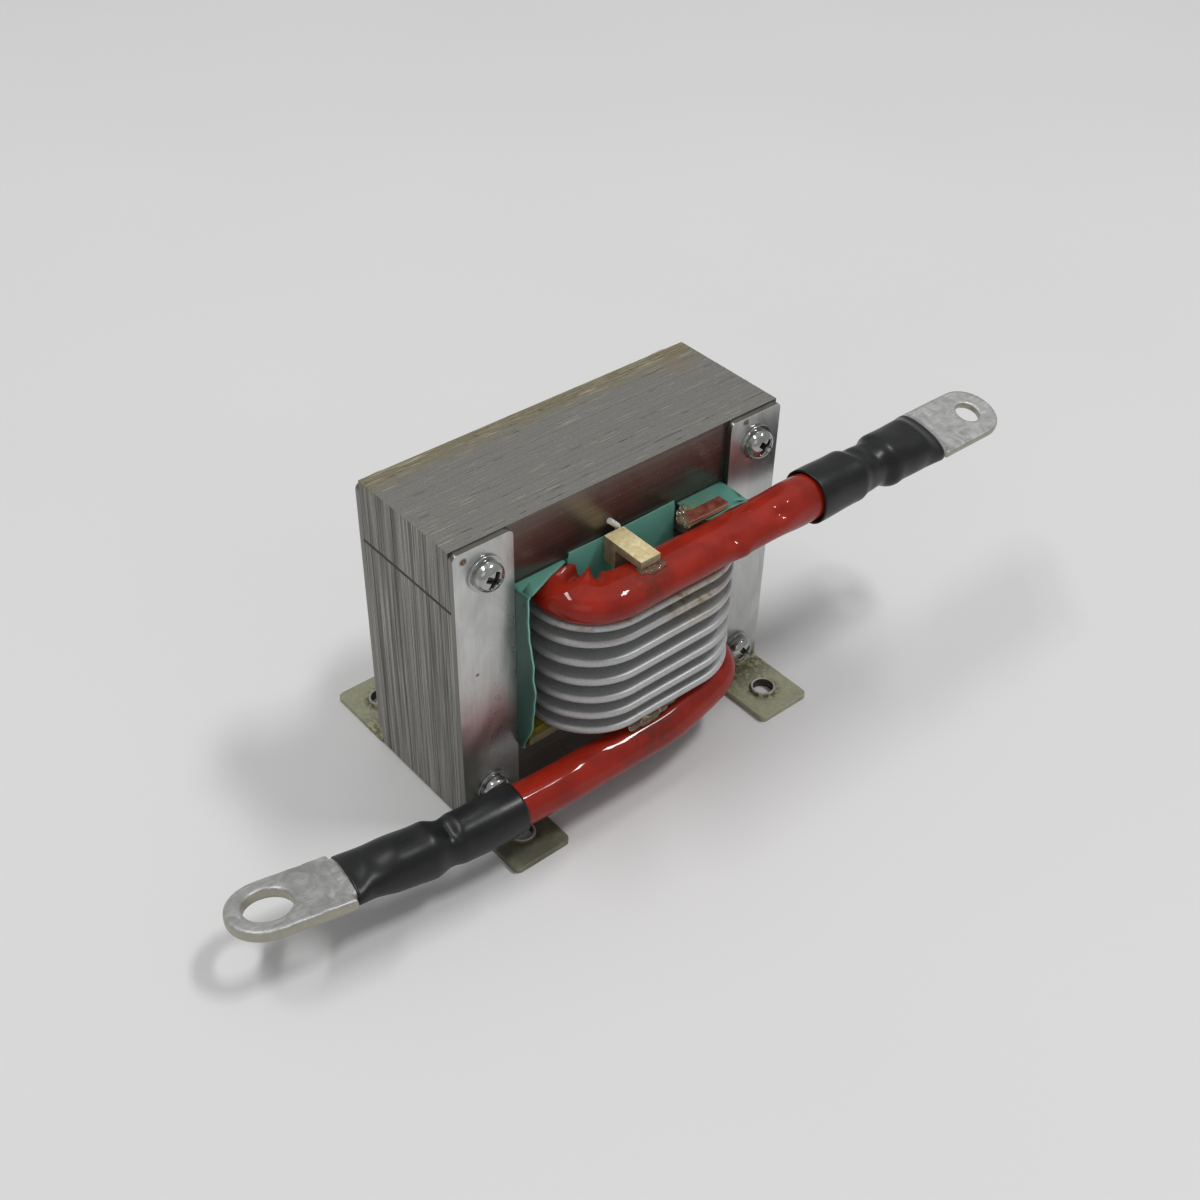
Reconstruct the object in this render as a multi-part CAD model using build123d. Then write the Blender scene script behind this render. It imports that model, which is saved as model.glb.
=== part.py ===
from build123d import *
import math
import os

# Iron-cored choke coil: an E and I lamination stack with an air gap, a coil of edge-wound
# aluminium strip on the centre leg, two sleeved leads with ring lugs, and four foot brackets.
# Millimetres. X runs along the core, -Y is the front where the leads cross, +Z is up.
# The origin is the centre of the four foot holes, on the floor plane.

os.makedirs("parts", exist_ok=True)

# Core
centre_leg_width = 32.0
outer_leg_width = 16.0
window_width = 16.0
window_height = 48.0
lower_yoke_height = 16.0
upper_yoke_height = 16.0
stack_depth = 33.5
core_lift = 0.8
gap_thickness = 0.8
seam_width = 0.25
seam_depth = 0.35
packet_depths = (1.6, 2.4, 5.0, 4.5, 7.5, 6.0, 3.5)

# Foot brackets
strap_width = 16.0
plate_thickness = 1.6
front_strap_top_drop = 0.3
rear_strap_top_drop = 1.8
foot_reach = 21.5
foot_hole_reach = 13.0
foot_hole_diameter = 5.2
foot_rim_wall = 0.7
foot_rim_height = 0.5
bend_radius = 1.0
plate_corner_radius = 1.5

# Clamping screws
screw_diameter = 4.0
screw_clearance = 0.5
screw_inset = 8.0
head_diameter = 7.4
head_height = 2.3
head_round = 1.6
recess_size = 4.2
recess_slot = 0.9
recess_depth = 1.5
flat_washer_diameter = 9.0
flat_washer_thickness = 0.8
spring_washer_diameter = 7.2
spring_washer_thickness = 1.0
spring_washer_split = 0.8
spring_washer_turn = 25.0
washer_clearance = 0.3
nut_across_flats = 7.0
nut_thickness = 3.2
screw_end_length = 2.0

# Winding: bare strip wound on edge, level across the front and sides, stepping up at the back
strip_width = 9.8
strip_thickness = 2.0
strip_edge_radius = 0.8
turn_corner_radius = 16.8
winding_front = 17.5
winding_side_play = 3.7
turn_gaps = (2.7, 2.7, 3.1, 3.5, 3.7, 3.7, 2.7, 4.0)
seat_clearance = 0.2

# Insulation
wrap_thickness = 0.4
wrap_clearance = 0.1
wrap_corner_radius = 0.36
liner_thickness = 0.5
liner_back_reach = 3.0
liner_flap_round = 3.0
liner_flap_gap = 1.2
left_wall_reaches = (0.0, 7.5, 10.6, 7.8, 5.8, 5.6)
left_flap_reaches = (0.8, 5.6)
right_wall_reaches = (0.0, 0.9, 1.2, 1.6, 2.4, 8.0)
right_flap_reaches = (9.0, 9.0)
spacer_width = 12.5
spacer_wall_gap = 1.0
spacer_front_reach = 4.0
block_width = 5.9
block_length = 13.0
block_thickness = 2.3
block_leg_length = 4.2
block_leg_depth = 5.0
block_gap = 1.5
block_place = -3.8
shim_length = 12.4
shim_width = 3.4
shim_thickness = 1.5
shim_start = 13.0
shim_gap = 5.4
tie_radius = 0.7
tie_height = 5.4
tie_lean = 2.6
tie_bend = 1.2

# How far a cut runs on past what it cuts
cut_overrun = 1.0

# Lead routes: each bend as X outwards from the core's end face, distance ahead of the core's
# front, and height above the turn that the lead leaves
mouth_gap = 1.2
lower_first_bend = (11.5, -2.2)
lower_bends = ((-52.0, 15.8, -4.1), (-18.0, 15.4, -4.7), (12.0, 13.2, -5.3), (39.5, 8.5, -3.8))
lower_bend_radii = (8.5, 60.0, 150.0, 90.0)
upper_first_bend = (13.3, 0.0)
upper_bends = ((-14.0, 13.2, 0.0), (45.0, 12.7, -1.3))
upper_bend_radii = (9.5, 400.0)

# Lead sleeves: each profile lists a distance back from the lug's root, a half width and a half
# height. The mouth profiles list the distance on from the sleeve's mouth instead.
sleeve_wall = 0.5
lead_clearance = 0.15
section_step = 4.0
least_step = 0.5
close_sections_length = 24.0
mouth_side_ease = 1.0
lower_mouth_face_ease = 1.3
lower_mouth_profile = ((9.0, 6.0, 4.4), (15.0, 5.6, 5.4))
lower_sleeve_radius = 5.4
lower_sleeve_end = 28.0
upper_sleeve_half_height = 4.6
upper_mouth_length = 8.0
upper_sleeve_profile = ((60.0, 6.5, 4.6), (50.0, 6.1, 6.0), (28.0, 6.0, 5.9))

# Heat-shrink, and the lugs' barrels inside it
shrink_wall = 0.55
lower_shrink_back = ((45.5, 6.0, 6.0), (29.0, 6.0, 6.0), (25.5, 5.5, 5.4))
lower_shrink_front = ((21.5, 6.2, 6.0), (9.0, 6.3, 5.2), (2.5, 8.0, 3.6))
lower_barrel_mouth = (23.5, 5.1, 5.0)
upper_shrink_back = ((45.5, 6.8, 6.7), (29.0, 6.8, 6.7), (24.5, 5.9, 5.7))
upper_shrink_front = ((19.5, 7.0, 6.4), (9.0, 7.2, 5.4), (2.0, 8.1, 3.4))
upper_barrel_mouth = (22.5, 5.3, 5.1)
barrel_bore_radius = 4.3
barrel_bore_depth = 12.5
barrel_neck_step = 1.0

# Lug tongues
palm_side_step = 0.4
palm_rise = 0.65
lower_lug_hole = 11.0
lower_tongue_width = 19.0
lower_tongue_thickness = 3.0
lower_tongue_length = 15.6
lower_tongue_roll = 12.0
upper_lug_hole = 6.4
upper_tongue_width = 16.4
upper_tongue_thickness = 2.0
upper_tongue_length = 15.6
upper_tongue_roll = 14.0

# Worked out from the sizes above
core_length = centre_leg_width + 2 * window_width + 2 * outer_leg_width
front_y = -stack_depth / 2
window_floor = core_lift + lower_yoke_height
window_top = window_floor + window_height
window_wall = centre_leg_width / 2 + window_width
yoke_floor = window_top + gap_thickness
core_top = yoke_floor + upper_yoke_height
screw_x = core_length / 2 - screw_inset
screw_heights = (core_lift + screw_inset, core_top - screw_inset)
screw_radius = screw_diameter / 2
strap_face = stack_depth / 2 + plate_thickness
foot_hole_y = stack_depth / 2 + foot_hole_reach

strip_inner_left = -(centre_leg_width / 2 + wrap_thickness + wrap_clearance)
strip_inner_right = -strip_inner_left + winding_side_play
left_x = strip_inner_left - strip_width / 2
right_x = strip_inner_right + strip_width / 2
turn_y = stack_depth / 2 + winding_front - strip_width / 2
turn_radius = turn_corner_radius - strip_width / 2
bend_y = turn_y - turn_radius
bend_right_x = right_x - turn_radius
bend_left_x = left_x + turn_radius
mouth_y = front_y - mouth_gap
turn_heights = [window_floor + liner_thickness + seat_clearance + strip_thickness / 2]
for turn_gap in turn_gaps:
    turn_heights.append(turn_heights[-1] + strip_thickness + turn_gap)
upper_mouth_half_height = window_top - liner_thickness - lead_clearance - turn_heights[-1]


def box_between(low, high):
    """A box from its lowest corner to its highest corner."""
    size = [high[i] - low[i] for i in range(3)]
    middle = [(high[i] + low[i]) / 2 for i in range(3)]
    return Pos(*middle) * Box(*size)


def bar_along_y(radius, start, end, x, z):
    """A round bar along Y between two Y values."""
    return Pos(x, (start + end) / 2, z) * Rot(90, 0, 0) * Cylinder(radius, end - start)


def with_seams(stack, low_z, high_z):
    """Cuts the open seams between packets of laminations, round the outside of a stack."""
    half = core_length / 2
    inner = box_between(
        (-half + seam_depth, front_y - cut_overrun, low_z + seam_depth),
        (half - seam_depth, -front_y + cut_overrun, high_z - seam_depth),
    )
    place = front_y
    for packet_depth in packet_depths:
        place += packet_depth
        slab = box_between(
            (-half - cut_overrun, place - seam_width / 2, low_z - cut_overrun),
            (half + cut_overrun, place + seam_width / 2, high_z + cut_overrun),
        )
        stack -= slab - inner
    return stack


def screw_holes(heights):
    """Clearance holes for the clamping screws at the given heights."""
    radius = screw_radius + screw_clearance / 2
    reach = strap_face + cut_overrun
    holes = []
    for side in (-1, 1):
        for height in heights:
            holes.append(bar_along_y(radius, -reach, reach, side * screw_x, height))
    return holes


def core_e_stack():
    """The lower stack: a yoke with three legs standing on it."""
    half = core_length / 2
    stack = box_between((-half, front_y, core_lift), (half, -front_y, window_top))
    for side in (-1, 1):
        middle_x = side * (centre_leg_width + window_width) / 2
        window = box_between(
            (middle_x - window_width / 2, front_y - cut_overrun, window_floor),
            (middle_x + window_width / 2, -front_y + cut_overrun, window_top + cut_overrun),
        )
        stack -= window
    stack = with_seams(stack, core_lift, window_top + 2 * seam_depth)
    return stack - screw_holes(screw_heights[:1])


def core_i_stack():
    """The upper stack: the yoke that closes the core above the gap."""
    half = core_length / 2
    stack = box_between((-half, front_y, yoke_floor), (half, -front_y, core_top))
    stack = with_seams(stack, yoke_floor - 2 * seam_depth, core_top)
    return stack - screw_holes(screw_heights[1:])


def gap_spacer():
    """The insulating sheet that holds the air gap open."""
    half = core_length / 2
    return box_between((-half, front_y, window_top), (half, -front_y, yoke_floor))


def bracket(side, turn, top_drop):
    """A strap up the core's face with a foot bent outwards at its bottom."""
    face = stack_depth / 2
    end = face + foot_reach
    top = core_top - top_drop
    bend_y_middle = strap_face + bend_radius
    bend_z_middle = plate_thickness + bend_radius
    outline = Line((face, top), (face, bend_z_middle))
    outline += CenterArc((bend_y_middle, bend_z_middle), bend_radius + plate_thickness, 180, 90)
    outline += Line((bend_y_middle, 0), (end, 0))
    outline += Line((end, 0), (end, plate_thickness))
    outline += Line((end, plate_thickness), (bend_y_middle, plate_thickness))
    outline += CenterArc((bend_y_middle, bend_z_middle), bend_radius, 270, -90)
    outline += Line((strap_face, bend_z_middle), (strap_face, top))
    outline += Line((strap_face, top), (face, top))
    plate = extrude(Plane.YZ * make_face(outline), amount=strap_width / 2, both=True)
    foot_corners = plate.edges().filter_by(Axis.Z).group_by(Axis.Y)[-1]
    plate = fillet(foot_corners, plate_corner_radius)
    strap_corners = plate.edges().filter_by(Axis.Y).group_by(Axis.Z)[-1]
    plate = fillet(strap_corners, plate_corner_radius)
    rim_top = plate_thickness + foot_rim_height
    rim_radius = foot_hole_diameter / 2 + foot_rim_wall
    plate += Pos(0, foot_hole_y, rim_top / 2) * Cylinder(rim_radius, rim_top)
    plate -= Pos(0, foot_hole_y, 0) * Cylinder(foot_hole_diameter / 2, 4 * rim_top)
    plate = Pos(side * screw_x, 0, 0) * Rot(0, 0, turn) * plate
    return plate - screw_holes(screw_heights)


def liner(side, wall_reaches, flap_reaches):
    """Green film folded round one window: floor, outer wall and top flap.

    wall_reaches lists how far the wall stands out of the core's front at even steps of height,
    and flap_reaches how far the flap does at its inner and outer ends.
    """
    back = stack_depth / 2 + liner_back_reach
    inner_x = window_wall - liner_thickness
    flap_x = centre_leg_width / 2 + liner_flap_gap
    step = window_height / (len(wall_reaches) - 1)
    points = []
    for number, reach in enumerate(wall_reaches):
        points.append((front_y - reach, window_floor + number * step))
    outline = Spline(*points)
    outline += Line(points[-1], (back, window_top))
    outline += Line((back, window_top), (back, window_floor))
    outline += Line((back, window_floor), points[0])
    wall = Pos(inner_x, 0, 0) * extrude(Plane.YZ * make_face(outline), amount=liner_thickness)
    inner_end = front_y - flap_reaches[0]
    outer_end = front_y - flap_reaches[1]
    inner_corners = ((flap_x, back), (flap_x, inner_end))
    outer_corners = ((window_wall, outer_end), (window_wall, back))
    flap_outline = Polyline(*inner_corners, *outer_corners, close=True)
    flap = extrude(make_face(flap_outline), amount=liner_thickness)
    flap = Pos(0, 0, window_top - liner_thickness) * flap
    corner_round = min(liner_flap_round, (window_wall - flap_x) / 2)
    corner = flap.edges().filter_by(Axis.Z).sort_by(Axis.X)[:2].sort_by(Axis.Y)[0]
    flap = fillet(corner, corner_round)
    floor_top = window_floor + liner_thickness
    floor_end = front_y - wall_reaches[0]
    base = box_between((flap_x, floor_end, window_floor), (window_wall, back, floor_top))
    shape = wall + flap + base
    if side < 0:
        shape = mirror(shape, Plane.YZ)
    return shape


def centre_leg_wrap():
    """Film round the centre leg, between the iron and the strip."""
    outer = RectangleRounded(
        centre_leg_width + 2 * wrap_thickness, stack_depth + 2 * wrap_thickness, wrap_corner_radius
    )
    wrap = extrude(outer - Rectangle(centre_leg_width, stack_depth), amount=window_height)
    return Pos(0, 0, window_floor) * wrap


def strip_section():
    """The strip's cross-section, with its long side level."""
    return RectangleRounded(strip_width, strip_thickness, strip_edge_radius)


def swept_strip(route, start, along):
    """The strip swept along a level route."""
    plane = Plane(origin=start, x_dir=Vector(0, 0, 1).cross(Vector(*along)), z_dir=along)
    return sweep(plane * strip_section(), path=route)


def level_turn():
    """One turn without its back step, open between the two back bends, at height 0."""
    height = 0
    route = CenterArc((bend_right_x, bend_y, height), turn_radius, 90, -90)
    route += Line((right_x, bend_y, height), (right_x, -bend_y, height))
    route += CenterArc((bend_right_x, -bend_y, height), turn_radius, 0, -90)
    route += Line((bend_right_x, -turn_y, height), (bend_left_x, -turn_y, height))
    route += CenterArc((bend_left_x, -bend_y, height), turn_radius, 270, -90)
    route += Line((left_x, -bend_y, height), (left_x, bend_y, height))
    route += CenterArc((bend_left_x, bend_y, height), turn_radius, 180, -90)
    return swept_strip(route, (bend_right_x, turn_y, height), (1, 0, 0))


def back_step(low, high):
    """The straight stretch at the back that climbs from one turn to the next."""
    sections = []
    for x, height in ((bend_right_x, low), (bend_left_x, high)):
        plane = Plane(origin=(x, turn_y, height), x_dir=(0, 1, 0), z_dir=(-1, 0, 0))
        sections.append(plane * strip_section())
    return loft(sections, ruled=True)


def right_run():
    """The first stretch of strip, from the lower sleeve's mouth to the back."""
    height = turn_heights[0]
    route = Line((right_x, mouth_y, height), (right_x, bend_y, height))
    route += CenterArc((bend_right_x, bend_y, height), turn_radius, 0, 90)
    return swept_strip(route, (right_x, mouth_y, height), (0, 1, 0))


def left_run():
    """The last stretch of strip, from the upper sleeve's mouth to the back."""
    height = turn_heights[-1]
    route = Line((left_x, mouth_y, height), (left_x, bend_y, height))
    route += CenterArc((bend_left_x, bend_y, height), turn_radius, 180, -90)
    return swept_strip(route, (left_x, mouth_y, height), (0, 1, 0))


class Lead:
    """One end of the winding: its route, and the ellipses of what lies along it.

    Each station is a distance back from the lug's root with a half width and a half height.
    """

    def __init__(self, route, sleeve, shrink_back, shrink_front, barrel_mouth, tongue):
        self.route = route
        self.length = route.length
        self.sleeve = sleeve
        self.shrink = shrink_back + shrink_front
        self.width, self.thickness, self.tongue_length, self.hole, self.roll = tongue
        inset = shrink_wall + lead_clearance
        self.barrel = [barrel_mouth]
        for place, half_width, half_height in shrink_front:
            self.barrel.append((place, half_width - inset, half_height - inset))
        self.barrel.append((0, self.width / 2 - palm_side_step, self.thickness / 2 + palm_rise))
        self.bore_end = barrel_mouth[0] - barrel_bore_depth

    def frame(self, back, roll):
        """Position, direction, level and upward axes at a distance back from the lug's root."""
        share = min(max(1 - back / self.length, 0), 1)
        along = self.route.tangent_at(share)
        level = Vector(0, 0, 1).cross(along).normalized()
        upward = along.cross(level)
        angle = math.radians(roll)
        turned_level = level * math.cos(angle) + upward * math.sin(angle)
        turned_up = upward * math.cos(angle) - level * math.sin(angle)
        return self.route.position_at(share), along, turned_level, turned_up

    def roll_at(self, back):
        """The lug's roll fades out over the heat-shrink's far half."""
        fade = self.shrink[0][0] / 2
        return self.roll * max(0.0, 1 - back / fade)

    def size_at(self, stations, back):
        """Half width and half height, blended smoothly between two stations."""
        if back >= stations[0][0]:
            return stations[0][1:]
        for first, second in zip(stations, stations[1:]):
            if back >= second[0]:
                share = (first[0] - back) / (first[0] - second[0])
                share = share * share * (3 - 2 * share)
                return [first[i] + (second[i] - first[i]) * share for i in (1, 2)]
        return stations[-1][1:]

    def solid(self, stations, start, end, inset):
        """A solid through the stations' ellipses, made smaller all round by an inset."""
        places = [start, end]
        place = self.length
        while place > 0:
            if end + least_step < place < start - least_step:
                places.append(place)
            near_mouth = place > self.length - close_sections_length
            place -= section_step / 2 if near_mouth else section_step
        for station in stations:
            nearest = min(abs(station[0] - place) for place in places)
            if end < station[0] < start and nearest > least_step:
                places.append(station[0])
        sections = []
        for back in sorted(places, reverse=True):
            position, along, level, upward = self.frame(back, self.roll_at(back))
            half_width, half_height = self.size_at(stations, back)
            plane = Plane(origin=position, x_dir=level, z_dir=along)
            sections.append(plane * Ellipse(half_width - inset, half_height - inset))
        return loft(sections, ruled=True)

    def red_sleeve(self):
        start = self.length
        end = self.sleeve[-1][0]
        return self.solid(self.sleeve, start, end, 0) - self.solid(self.sleeve, start, end, sleeve_wall)

    def heat_shrink(self):
        start = self.shrink[0][0]
        end = self.shrink[-1][0]
        return self.solid(self.shrink, start, end, 0) - self.solid(self.shrink, start, end, shrink_wall)

    def conductor(self):
        """The bundle that fills the sleeve and ends in the lug's barrel."""
        inset = sleeve_wall + lead_clearance
        place, half_width, half_height = self.sleeve[-1]
        sleeved = self.solid(self.sleeve, self.length, place, inset)
        radius = barrel_bore_radius - lead_clearance
        neck = [
            (place, half_width - inset, half_height - inset),
            (self.barrel[0][0] + barrel_neck_step, radius, radius),
            (self.bore_end + lead_clearance, radius, radius),
        ]
        return sleeved + self.solid(neck, neck[0][0], neck[-1][0], 0)

    def lug(self):
        """A tube pressed flat into a tongue with a rounded end and a bolt hole."""
        mouth = self.barrel[0][0]
        barrel = self.solid(self.barrel, mouth, 0, 0)
        bore = [
            (mouth + lead_clearance, barrel_bore_radius, barrel_bore_radius),
            (self.bore_end, barrel_bore_radius, barrel_bore_radius),
        ]
        barrel -= self.solid(bore, bore[0][0], bore[-1][0], 0)
        root, along, level, upward = self.frame(0, self.roll)
        plane = Plane(origin=root + along * self.tongue_length, x_dir=along, z_dir=upward)
        outline = Pos(-self.tongue_length / 2, 0) * Rectangle(self.tongue_length, self.width)
        outline += Circle(self.width / 2)
        outline -= Circle(self.hole / 2)
        tongue = extrude(plane * outline, amount=self.thickness / 2, both=True)
        hole = extrude(plane * Circle(self.hole / 2), amount=self.width, both=True)
        return barrel + tongue - hole


def lead_route(start_x, side, height, first_bend, bends, radii):
    """From the sleeve's mouth forwards, round the first bend and along the core's front."""
    points = [(start_x, mouth_y, height), (start_x, front_y - first_bend[0], height + first_bend[1])]
    for outwards, ahead, above in bends:
        points.append((side * (core_length / 2 + outwards), front_y - ahead, height + above))
    return FilletPolyline(*points, radius=radii)


def lower_lead():
    """Leaves under the first turn at the right, crosses the front and ends in the large lug."""
    route = lead_route(right_x, -1, turn_heights[0], lower_first_bend, lower_bends, lower_bend_radii)
    half_width = strip_width / 2 + sleeve_wall + mouth_side_ease
    half_height = strip_thickness / 2 + sleeve_wall + lower_mouth_face_ease
    sleeve = [(route.length, half_width, half_height)]
    for onward, wide, high in lower_mouth_profile:
        sleeve.append((route.length - onward, wide, high))
    sleeve.append((lower_sleeve_end, lower_sleeve_radius, lower_sleeve_radius))
    tongue = (
        lower_tongue_width,
        lower_tongue_thickness,
        lower_tongue_length,
        lower_lug_hole,
        lower_tongue_roll,
    )
    return Lead(route, sleeve, lower_shrink_back, lower_shrink_front, lower_barrel_mouth, tongue)


def upper_lead():
    """Leaves the last turn at the left, crosses the front and ends in the small lug."""
    route = lead_route(left_x, 1, turn_heights[-1], upper_first_bend, upper_bends, upper_bend_radii)
    half_width = strip_width / 2 + sleeve_wall + mouth_side_ease
    sleeve = [
        (route.length, half_width, upper_mouth_half_height),
        (route.length - upper_mouth_length, half_width, upper_sleeve_half_height),
    ]
    sleeve += upper_sleeve_profile
    tongue = (
        upper_tongue_width,
        upper_tongue_thickness,
        upper_tongue_length,
        upper_lug_hole,
        upper_tongue_roll,
    )
    return Lead(route, sleeve, upper_shrink_back, upper_shrink_front, upper_barrel_mouth, tongue)


def winding(lower, upper):
    """The whole conductor: seven bare turns with their steps, and both lead ends."""
    turn = level_turn()
    pieces = [left_run(), lower.conductor(), upper.conductor()]
    for height in turn_heights[1:-1]:
        pieces.append(Pos(0, 0, height) * turn)
    for low, high in zip(turn_heights, turn_heights[1:]):
        pieces.append(back_step(low, high))
    return right_run() + pieces


def bottom_spacer():
    """A varnished board on the left window's floor, under the first full turn."""
    floor = window_floor + liner_thickness
    top = turn_heights[1] - strip_thickness / 2
    back = stack_depth / 2 + liner_back_reach
    start = -window_wall + liner_thickness + spacer_wall_gap
    return box_between((start, front_y - spacer_front_reach, floor), (start + spacer_width, back, top))


def spacer_block():
    """A cream block that holds the upper lead off the core, with a leg at its back."""
    rear = front_y - block_gap
    bottom = turn_heights[-1] + upper_sleeve_half_height + lead_clearance
    low_x = block_place - block_width / 2
    high_x = block_place + block_width / 2
    plate = box_between((low_x, rear - block_length, bottom), (high_x, rear, bottom + block_thickness))
    leg = box_between((low_x, rear - block_leg_length, bottom - block_leg_depth), (high_x, rear, bottom))
    return plate + leg


def fibre_shim():
    """A layered fibre strip lying on the right liner's top flap."""
    low_y = front_y - shim_gap - shim_width
    return box_between(
        (shim_start, low_y, window_top),
        (shim_start + shim_length, low_y + shim_width, window_top + shim_thickness),
    )


def tie_stub():
    """The cut end of a lacing tie, pinched between the block and the core."""
    y = front_y - block_gap / 2
    foot_x = block_place + block_width / 3
    bend_z = window_top + tie_height / 2
    points = (
        (foot_x, y, window_top),
        (foot_x, y, bend_z),
        (foot_x - tie_lean, y, window_top + tie_height),
    )
    route = FilletPolyline(*points, radius=tie_bend)
    return sweep(Plane(origin=points[0], z_dir=(0, 0, 1)) * Circle(tie_radius), path=route)


def ring_along_y(outer, inner, thickness):
    """A flat ring standing on the XZ plane, from Y = 0 towards -Y."""
    return Rot(90, 0, 0) * extrude(Circle(outer) - Circle(inner), amount=thickness)


def screw():
    """A pan-head screw with a cross recess; the head stands on Y = 0 towards -Y."""
    through = strap_face * 2 + 2 * flat_washer_thickness + spring_washer_thickness
    length = through + nut_thickness + screw_end_length
    head = Cylinder(head_diameter / 2, head_height, align=(Align.CENTER, Align.CENTER, Align.MIN))
    head = fillet(head.edges().group_by(Axis.Z)[-1], head_round)
    for turn in (0, 90):
        slot = Rot(0, 0, turn) * Box(recess_size, recess_slot, 2 * recess_depth)
        head -= Pos(0, 0, head_height) * slot
    shank = Cylinder(screw_radius, length, align=(Align.CENTER, Align.CENTER, Align.MAX))
    return Rot(90, 0, 0) * (head + shank)


def spring_washer():
    """A split ring."""
    inner = screw_radius + washer_clearance / 2
    ring = ring_along_y(spring_washer_diameter / 2, inner, spring_washer_thickness)
    split = Pos(spring_washer_diameter / 2, 0, 0) * Box(
        spring_washer_diameter, 4 * spring_washer_thickness, spring_washer_split
    )
    return Rot(0, spring_washer_turn, 0) * (ring - split)


def flat_washer():
    """A plain ring."""
    inner = screw_radius + washer_clearance / 2
    return ring_along_y(flat_washer_diameter / 2, inner, flat_washer_thickness)


def nut():
    """A hexagon nut."""
    sketch = RegularPolygon(nut_across_flats / 2, 6, major_radius=False) - Circle(screw_radius)
    return Rot(90, 0, 0) * extrude(sketch, amount=nut_thickness)


def write(name, shape):
    """Writes one sub-part."""
    export_step(shape, os.path.join("parts", name + ".step"))


def write_corner_fasteners():
    """The screw, its washers and its nut at each of the four corners."""
    flat = flat_washer()
    spring = spring_washer()
    screw_shape = screw()
    nut_shape = nut()
    for side, side_name in ((-1, "left"), (1, "right")):
        for height, height_name in zip(screw_heights, ("lower", "upper")):
            corner = height_name + "_" + side_name
            x = side * screw_x
            front = -strap_face
            write("flat_washer_" + corner, Pos(x, front, height) * flat)
            front -= flat_washer_thickness
            write("spring_washer_" + corner, Pos(x, front, height) * spring)
            front -= spring_washer_thickness
            write("screw_" + corner, Pos(x, front, height) * screw_shape)
            back = strap_face + flat_washer_thickness
            write("rear_washer_" + corner, Pos(x, back, height) * flat)
            back += nut_thickness
            write("nut_" + corner, Pos(x, back, height) * nut_shape)


def main():
    lower = lower_lead()
    upper = upper_lead()
    write("core_e_stack", core_e_stack())
    write("core_i_stack", core_i_stack())
    write("gap_spacer", gap_spacer())
    for side, side_name in ((-1, "left"), (1, "right")):
        write("bracket_front_" + side_name, bracket(side, 180, front_strap_top_drop))
        write("bracket_rear_" + side_name, bracket(side, 0, rear_strap_top_drop))
    write("window_liner_left", liner(-1, left_wall_reaches, left_flap_reaches))
    write("window_liner_right", liner(1, right_wall_reaches, right_flap_reaches))
    write("centre_leg_wrap", centre_leg_wrap())
    write("winding", winding(lower, upper))
    write("lead_sleeve_lower", lower.red_sleeve())
    write("lead_sleeve_upper", upper.red_sleeve())
    write("heat_shrink_lower", lower.heat_shrink())
    write("heat_shrink_upper", upper.heat_shrink())
    write("ring_lug_lower", lower.lug())
    write("ring_lug_upper", upper.lug())
    write("bottom_spacer", bottom_spacer())
    write("spacer_block", spacer_block())
    write("fibre_shim", fibre_shim())
    write("tie_stub", tie_stub())
    write_corner_fasteners()


main()
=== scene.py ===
"""Looks of a choke coil: laminated core, edge-wound strip coil, sleeved leads and foot straps."""

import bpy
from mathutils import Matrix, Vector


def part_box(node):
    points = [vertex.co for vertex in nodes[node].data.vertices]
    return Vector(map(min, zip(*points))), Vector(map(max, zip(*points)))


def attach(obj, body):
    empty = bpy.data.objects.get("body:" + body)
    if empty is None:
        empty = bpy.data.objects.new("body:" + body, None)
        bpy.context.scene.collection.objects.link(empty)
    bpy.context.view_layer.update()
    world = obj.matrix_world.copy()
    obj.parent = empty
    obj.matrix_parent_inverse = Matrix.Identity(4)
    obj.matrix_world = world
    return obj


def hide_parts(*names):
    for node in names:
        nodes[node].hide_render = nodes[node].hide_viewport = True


bl_info = {
    "name": "Choke Coil Parts",
    "version": (1, 0, 0),
    "blender": (4, 5, 0),
    "location": "3D View > Sidebar > Choke Coil",
    "description": "Builds the visible pieces of an iron-cored choke coil round its packed solids",
    "category": "Add Mesh",
}

import math

import bmesh
import bpy
from mathutils import Matrix, Vector, noise

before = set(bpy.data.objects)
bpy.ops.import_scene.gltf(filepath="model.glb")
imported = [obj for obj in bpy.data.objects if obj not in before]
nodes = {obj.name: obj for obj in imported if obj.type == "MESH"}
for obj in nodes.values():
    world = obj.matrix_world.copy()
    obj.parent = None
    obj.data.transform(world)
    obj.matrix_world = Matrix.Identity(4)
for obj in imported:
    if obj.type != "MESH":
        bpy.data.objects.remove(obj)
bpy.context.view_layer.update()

MM = 0.001
CORNERS = ("lower_left", "upper_left", "lower_right", "upper_right")
HALF_CORE = 48.0
HALF_STACK = 16.75
CORE_LIFT = 0.8
WINDOW_FLOOR = 16.8
WINDOW_TOP = 64.8
YOKE_FLOOR = 65.6
CORE_TOP = 81.6
HALF_LEG = 16.0
WINDOW_WALL = 32.0
SEAMS = (-15.15, -12.75, -7.75, -3.25, 4.25, 10.25, 13.75)
# A foot's hole: its distance along X and Y from the middle, and its radius
FOOT_HOLE = (40.0, 29.75, 2.6)
FOOT_TOP = 1.6
RUST = (0.16, 0.1, 0.05)
STRAP_SPOTS = (
    ((-42.9, -18.4, 45.8), 0.3, (0.03, 0.02, 0.015)),
    ((-45.3, -18.4, 78.9), 0.6, RUST),
    ((36.6, -18.4, 80.0), 0.6, RUST),
    ((-44.0, 18.4, 70.0), 0.8, RUST),
)


# Meshes


def linked(name, data):
    """An object that holds some data, in the scene."""
    piece = bpy.data.objects.new(name, data)
    bpy.context.scene.collection.objects.link(piece)
    return piece


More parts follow.
